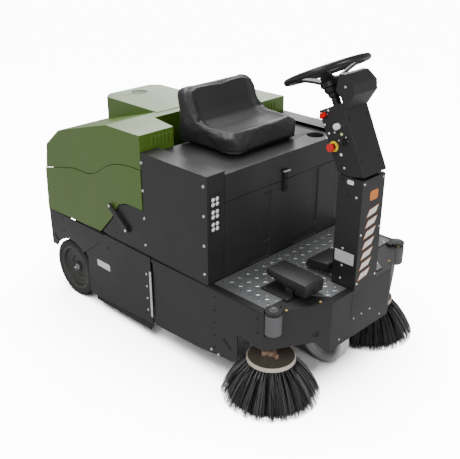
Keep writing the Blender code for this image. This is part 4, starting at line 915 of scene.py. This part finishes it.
# ---- bolts, rivets, holes, labels and small parts
def side_hardware(side, sign):
    out = (sign, 0, 0)
    face = sign * HALF
    spots = [(face, y, z) for y in (0.041, BOX_FRONT_Y + 0.021) for z in (0.925, 0.792, 0.655, 0.520)]
    bolts(f"box_bolts_{side}", spots, out, 0.0075, 0.0040)
    spots = [(face, BOX_FRONT_Y - 0.037, 0.430 - 0.064 * count) for count in range(5)]
    spots += [(face, -0.672, 0.436), (face, -0.674, 0.369), (face, 0.747, 0.434), (face, 0.745, 0.364)]
    holes(f"side_holes_{side}", spots, out, 0.0062)
    bolts(f"brush_bolts_{side}", [(face, -0.397, 0.153), (face, -0.441, 0.145)], out, 0.0080, 0.0045)
    # The two slots in the side panel, drawn as black strips: painted shade for the open slots
    bm = bmesh.new()
    for start, end in (((-0.471, 0.246), (-0.520, 0.208)), ((0.842, 0.310), (0.808, 0.279))):
        y, z = (start[0] + end[0]) / 2, (start[1] + end[1]) / 2
        reach = math.dist(start, end) / 2
        turn = Matrix.Rotation(math.atan2(end[1] - start[1], end[0] - start[0]), 4, "X")
        put_box(bm, (face - 0.0006, y - reach, z - 0.0075), (face + 0.0006, y + reach, z + 0.0075), turn)
    piece(f"side_slots_{side}", bm, BLACK_AND_PAINTED_SHADE, "chassis", "frame_paint")
    outer = DOOR_LOW.x if side == "r" else -DOOR_LOW.x
    plate = outer - sign * 0.0035
    spots = [(plate, 0.043, 0.367 - 0.0653 * count) for count in range(4)]
    bolts(f"door_rivets_{side}", spots, out, 0.0062, 0.0022, body=f"broom_door_{side}", material=PLATED)
    holes(f"door_hole_{side}", [(plate, 0.340, 0.398)], out, 0.0075, body=f"broom_door_{side}")
    bm = bmesh.new()
    low, high = sorted((plate - sign * 0.0004, plate + sign * 0.0012))
    knuckle_low, knuckle_high = sorted((outer - sign * 0.0002, outer + sign * 0.0012))
    put_box(bm, (knuckle_low, 0.0030, 0.146), (knuckle_high, 0.0170, 0.393))
    piece(f"hinge_leaf_{side}", bm, PLATED, f"broom_door_{side}", "tread_metal", bevel=0.0004)
    single(f"door_label_{side}", put_prism, (rounded_outline(0.338, 0.267, 0.444, 0.302, 0.003), "X", low,
        min(high, low + 0.0010) if sign > 0 else high), WHITE, f"broom_door_{side}", "frame_paint")
    bm = bmesh.new()
    inside = face - sign * 0.006
    low, high = sorted((inside, inside - sign * 0.004))
    put_prism(bm, [(0.040, 0.050), (0.490, 0.040), (0.485, 0.120), (0.030, 0.120)], "X", low, high)
    piece(f"side_flap_{side}", bm, SKIRT, "chassis", "strap_rubber", bevel=0.001)
    bm = bmesh.new()
    inside = face - sign * 0.0045
    low, high = sorted((inside, inside - sign * 0.0025))
    put_prism(bm, [(0.330, 0.300), (0.400, 0.285), (0.535, 0.255), (0.560, 0.300), (0.560, 0.462),
        (0.330, 0.462)], "X", low, high)
    piece(f"door_backing_{side}", bm, PAINT, "chassis", "frame_paint")


for side, sign in SIDES:
    side_hardware(side, sign)


def lever_details():
    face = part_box("side_lever")[0].x
    bolts("lever_pins", [(face, 0.289, 0.648), (face, 0.170, 0.556)], (-1, 0, 0), 0.0085, 0.0040,
        body="side_lever")


lever_details()


def box_front_details():
    single("sign_plate", put_prism, (rounded_outline(-0.467, 0.705, -0.402, 0.886, 0.004), "Y",
        BOX_FRONT_Y - 0.0010, BOX_FRONT_Y + 0.0002), BLACK_AND_PAINTED_SHADE, "chassis", "black_panel")
    bm = bmesh.new()
    for group in range(3):
        for row in range(2):
            for column in range(2):
                spot = (-0.4465 + 0.024 * column, BOX_FRONT_Y - 0.0010, 0.862 - 0.056 * group - 0.022 * row)
                ring = [(0.0, 0.0004), (0.0086, 0.0004), (0.0094, 0.0), (0.0, 0.0)]
                put_turned(bm, ring, facing(spot, (0, -1, 0)), 20)
    piece("sign_dots", bm, WHITE, "chassis", "control_white")
    bm = bmesh.new()
    for _, sign in SIDES:
        edge_low, edge_high = sorted((sign * 0.3781, sign * 0.3812))
        put_box(bm, (edge_low, BOX_FRONT_Y - 0.0006, 0.474), (edge_high, BOX_FRONT_Y + 0.0004, 0.946))
    for start, end in ((-0.3770, -0.2900), (-0.1000, 0.0640), (0.2350, 0.3770)):
        put_box(bm, (start, COVER_Y - 0.0004, SPLIT_Z - 0.0030), (end, COVER_Y + 0.0004, SPLIT_Z - 0.0002))
    piece("cover_shadow_lines", bm, BLACK_AND_PAINTED_SHADE, "chassis", "black_panel")
    low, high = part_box("deck_latch")
    bm = bmesh.new()
    put_box(bm, (-0.013, low.y - 0.0035, low.z + 0.012), (0.013, low.y + 0.001, low.z + 0.020))
    put_box(bm, (-0.013, low.y - 0.0035, low.z + 0.060), (0.013, low.y + 0.001, low.z + 0.066))
    piece("latch_ribs", bm, RUBBER, "deck_latch", "strap_rubber", bevel=0.0015)
    single("latch_pin", put_turned, ([(0.0, 0.022), (0.0042, 0.022), (0.0052, 0.0205), (0.0052, -0.0205),
        (0.0042, -0.022), (0.0, -0.022)], facing((0, low.y - 0.0022, high.z - 0.0045), (1, 0, 0)), 20),
        ZINC, "deck_latch", "tread_metal")


box_front_details()


# ---- steering column
LEAN = math.radians(25.5)
TILT_Y, TILT_Z = -0.794, 0.982


def lean(x, dy, dz):
    """A place on the leaning column: across, along its depth, and along its length."""
    return Vector((x, TILT_Y + dy * math.cos(LEAN) + dz * math.sin(LEAN),
        TILT_Z - dy * math.sin(LEAN) + dz * math.cos(LEAN)))


def decal():
    """Plain slanted tiles down the column's front in two colours."""
    face = COLUMN_LOW.y
    tiles = []
    for count in range(7):
        z = 0.536 + 0.0475 * count
        middle = -0.020 + 0.0045 * count
        tiles.append((middle, z, 0.030, 0.0175))
    borders, fills = bmesh.new(), bmesh.new()
    for middle, z, half, rise in tiles:
        for bm, grow, lift in ((borders, 0.0032, 0.0004), (fills, 0.0, 0.0007)):
            across, up = half + grow, rise + grow
            skew = 0.45
            outline = [(middle - across - up * skew, z - up), (middle + across - up * skew, z - up * 0.55),
                (middle + across + up * skew, z + up), (middle - across + up * skew, z + up * 0.55)]
            put_prism(bm, outline, "Y", face - lift, face + 0.0002)
    put_prism(borders, rounded_outline(-0.022, 0.872, 0.034, 0.915, 0.010), "Y", face - 0.0007,
        face + 0.0002)
    piece("decal_border", borders, ORANGE, "chassis", "control_red")
    piece("decal_fill", fills, WHITE, "chassis", "control_white")


decal()


def column_details():
    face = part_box("upper_column")[0].x
    for side, sign in SIDES:
        x = sign * -face
        spots = [(x, -0.759, 1.004), (x, -0.648, 1.160)] if side == "r" else [(x, -0.740, 1.040),
            (x, -0.650, 1.180)]
        bolts(f"column_bolts_{side}", spots, (sign, 0, 0), 0.0060, 0.0030, body="column_head")
    bm = bmesh.new()
    middle = middle_of("estop_button")
    collar = [(0.0125, 0.0006), (0.0130, 0.0050), (0.0205, 0.0038), (0.0225, 0.0010), (0.0225, -0.0004),
        (0.0125, -0.0004)]
    put_turned(bm, collar + [collar[0]], facing((face, middle.y, middle.z), (-1, 0, 0)), 40)
    piece("estop_collar", bm, YELLOW, "column_head", "control_white")
    bm = bmesh.new()
    collar = [(0.0105, 0.0), (0.0125, 0.0030), (0.0150, 0.0030), (0.0170, -0.0004), (0.0105, -0.0004)]
    for kind in ("key_switch", "pull_knob", "selector_knob"):
        middle = middle_of(kind)
        put_turned(bm, collar + [collar[0]], facing((face, middle.y, middle.z), (-1, 0, 0)), 32)
    piece("switch_collars", bm, SMOOTH, "column_head", "black_panel")
    bm = bmesh.new()
    dome = [(0.0, 0.0050), (0.0035, 0.0045), (0.0055, 0.0025), (0.0062, -0.0004), (0.0, -0.0004)]
    put_turned(bm, dome, facing((face, -0.735, 1.140), (-1, 0, 0)), 24)
    piece("lamp", bm, LAMP, "column_head", "control_white")
    bm = bmesh.new()
    marks = [(-0.673, 1.130, 0.0050), (-0.662, 1.109, 0.0050), (-0.739, 1.056, 0.0065),
        (-0.662, 1.222, 0.0045)]
    marks += [(-0.612, 1.180, 0.0045), (-0.757, 1.132, 0.0030), (-0.724, 1.112, 0.0030),
        (-0.700, 1.140, 0.0035)]
    for y, z, radius in marks:
        put_turned(bm, [(0.0, 0.0005), (radius, 0.0004), (radius, -0.0003), (0.0, -0.0003)],
            facing((face, y, z), (-1, 0, 0)), 16)
    piece("column_marks", bm, WHITE, "column_head", "control_white")
    base = COLUMN_LOW.x
    bm = bmesh.new()
    plate = rounded_outline(-0.840, 0.588, -0.742, 0.641, 0.003)
    put_prism(bm, plate, "X", base - 0.0010, base + 0.0002)
    piece("rating_plate", bm, PLATED, "chassis", "tread_metal")
    spots = [(base, -0.779, 0.652), (base, -0.781, 0.571), (base, -0.778, 0.510), (base, -0.829, 0.896)]
    bolts("base_bolts", spots, (-1, 0, 0), 0.0060, 0.0032)
    holes("base_hole", [(base, -0.790, 0.898), (base, -0.757, 0.958), (base, -0.807, 0.955)], (-1, 0, 0),
        0.0065)
    spots = [(sign * 0.066, COLUMN_LOW.y, z) for _, sign in SIDES for z in (0.957, 0.734, 0.506)]
    bolts("column_face_bolts", spots, (0, -1, 0), 0.0062, 0.0030)
    normal = lean(0, -1, 0) - lean(0, 0, 0)
    spots = [lean(sign * 0.060, -0.0620, dz) for _, sign in SIDES for dz in (0.040, 0.215)]
    bolts("head_face_bolts", spots, normal, 0.0056, 0.0030, body="column_head", material=PAINT,
        slot="frame_paint")
    spots = [lean(face, -0.098, 0.338)]
    bolts("housing_screw", spots, (-1, 0, 0), 0.0055, 0.0024, body="column_head")
    single("column_tab", put_prism, (rounded_outline(-0.812, 0.944, -0.780, 0.962, 0.006), "X",
        base - 0.0014, base + 0.0002), WHITE, "chassis", "control_white")


column_details()


# ---- deck, pedals, bumper and corners
def front_details():
    deck_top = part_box("deck_pan")[1].z
    spots = [(x, y, deck_top) for x, y in ((-0.394, -0.750), (-0.243, -0.806), (0.422, -0.746),
        (0.265, -0.801))]
    bolts("deck_bolts", spots, (0, 0, 1), 0.0070, 0.0036, material=BRASS)
    pins = [(-0.330, -0.700, 0.4805), (-0.330, -0.575, 0.4805), (-0.140, -0.700, 0.4805),
        (-0.140, -0.575, 0.4805)]
    bolts("pedal_base_bolts", pins, (0, 0, 1), 0.0060, 0.0034, material=PAINT, slot="frame_paint")
    for side, _ in SIDES:
        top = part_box(f"corner_cap_{side}")[1].z
        middle = middle_of(f"corner_roller_{side}")
        bm = bmesh.new()
        spot = (middle.x, middle.y, top)
        put_turned(bm, [(0.0, 0.0016), (0.017, 0.0016), (0.0185, 0.0), (0.0, 0.0)],
            facing(spot, (0, 0, 1)), 32)
        put_turned(bm, [(0.0, 0.0085), (0.0115, 0.0085), (0.0130, 0.0070), (0.0130, 0.0), (0.0, 0.0)],
            facing(spot, (0, 0, 1)), 6)
        piece(f"corner_nut_{side}", bm, ROLLER, "chassis", "tread_metal")
    face = (0, -1, 0)
    spots = [(x, NOSE_Y, 0.325) for x in (-0.053, 0.006, 0.066)]
    bolts("bumper_bolts", spots, face, 0.0046, 0.0026)
    single("nose_seam", put_box, ((-0.0765, NOSE_Y - 0.0004, 0.318), (-0.0735, NOSE_Y + 0.0004, 0.466)),
        BLACK_AND_PAINTED_SHADE, "chassis", "frame_paint")
    spots = [(x, NOSE_Y, 0.262) for x in (-0.150, 0.150)]
    bolts("bumper_small_bolts", spots, face, 0.0050, 0.0030)
    # The bumper's hole, drawn as a black disc: painted shade for the hole's inside; the ring round it is
    # real paint
    bm = bmesh.new()
    spot = Vector((-0.272, 0.0, 0.330))
    slope = Vector((FACET_HALF - HALF, CORNER_Y - NOSE_Y, 0)).normalized()
    face = Vector((-slope.y, slope.x, 0))
    if face.y > 0:
        face = -face
    spot.y = NOSE_Y + (CORNER_Y - NOSE_Y) * (-spot.x - FACET_HALF) / (HALF - FACET_HALF)
    put_turned(bm, [(0.0, 0.0004), (0.0100, 0.0004), (0.0105, -0.0003), (0.0, -0.0003)],
        facing(spot, face), 28)
    piece("bumper_hole", bm, BLACK_AND_PAINTED_SHADE, "chassis", "frame_paint")
    bm = bmesh.new()
    ring = [(0.0105, 0.0), (0.0110, 0.0022), (0.0150, 0.0022), (0.0165, 0.0), (0.0165, -0.0003),
        (0.0105, -0.0003)]
    put_turned(bm, ring + [ring[0]], facing(spot, face), 32)
    piece("bumper_ring", bm, PAINT, "chassis", "frame_paint")


front_details()


# ---- floor, light and camera
def floor_material():
    """Pale and plain, throwing little light back onto the machine."""
    material = bpy.data.materials.new("floor_pale")
    material.use_nodes = True
    tree = material.node_tree
    tree.nodes.clear()
    seen = node(tree, "ShaderNodeBsdfDiffuse", Color=(0.92, 0.92, 0.92, 1.0))
    thrown = node(tree, "ShaderNodeBsdfDiffuse", Color=(0.05, 0.05, 0.05, 1.0))
    path = tree.nodes.new("ShaderNodeLightPath")
    mix = tree.nodes.new("ShaderNodeMixShader")
    tree.links.new(path.outputs["Is Camera Ray"], mix.inputs[0])
    tree.links.new(thrown.outputs["BSDF"], mix.inputs[1])
    tree.links.new(seen.outputs["BSDF"], mix.inputs[2])
    tree.links.new(mix.outputs["Shader"], tree.nodes.new("ShaderNodeOutputMaterial").inputs["Surface"])
    return material


def soft_light(name, place, size, power):
    """A round soft light aimed at the machine."""
    light = bpy.data.lights.new(name, "AREA")
    light.shape = "DISK"
    light.size = size
    light.energy = power
    lamp = bpy.data.objects.new(name, light)
    lamp.location = place
    lamp.rotation_euler = (Vector((0, 0, 0.6)) - Vector(place)).to_track_quat("-Z", "Y").to_euler()
    bpy.context.scene.collection.objects.link(lamp)


def stage_and_light():
    mesh = bpy.data.meshes.new("floor")
    bm = bmesh.new()
    bmesh.ops.create_grid(bm, x_segments=1, y_segments=1, size=FLOOR_HALF)
    bm.to_mesh(mesh)
    bm.free()
    floor = bpy.data.objects.new("floor", mesh)
    floor.location.z = -0.0005
    bpy.context.scene.collection.objects.link(floor)
    mesh.materials.append(floor_material())
    ground = bpy.data.collections.new("ground")
    ground.objects.link(floor)
    world = bpy.data.worlds.new("studio")
    world.use_nodes = True
    world.node_tree.nodes["Background"].inputs["Color"].default_value = (1.0, 1.0, 1.0, 1.0)
    world.node_tree.nodes["Background"].inputs["Strength"].default_value = WORLD_LEVEL
    bpy.context.scene.world = world
    for light in LIGHTS:
        soft_light(*light)
    sky = bpy.data.lights.new("ground_sun", "SUN")
    sky.energy = GROUND_POWER
    sky.angle = math.radians(GROUND_SPREAD)
    sun = bpy.data.objects.new("ground_sun", sky)
    bpy.context.scene.collection.objects.link(sun)
    sun.light_linking.receiver_collection = ground


WORLD_LEVEL = 0.36
LIGHTS = (("overhead", (0.3, 0.9, 3.6), 2.6, 120.0), ("key", (-3.4, -1.0, 3.0), 1.8, 64.0),
    ("front", (-0.4, -4.4, 2.4), 2.2, 76.0), ("back", (3.2, 3.2, 2.6), 3.0, 90.0))
GROUND_POWER = 42.0
GROUND_SPREAD = 75.0
FLOOR_HALF = 40.0
stage_and_light()

camera_data = bpy.data.cameras.new("camera")
camera_data.lens = 56.82
camera_data.sensor_width = 36.0
camera_data.sensor_fit = "HORIZONTAL"
camera = bpy.data.objects.new("camera", camera_data)
camera.location = (-2.341, -2.374, 2.0226)
camera.rotation_euler = (math.radians(64.8), 0.0, math.radians(-45.0))
bpy.context.scene.collection.objects.link(camera)
bpy.context.scene.camera = camera
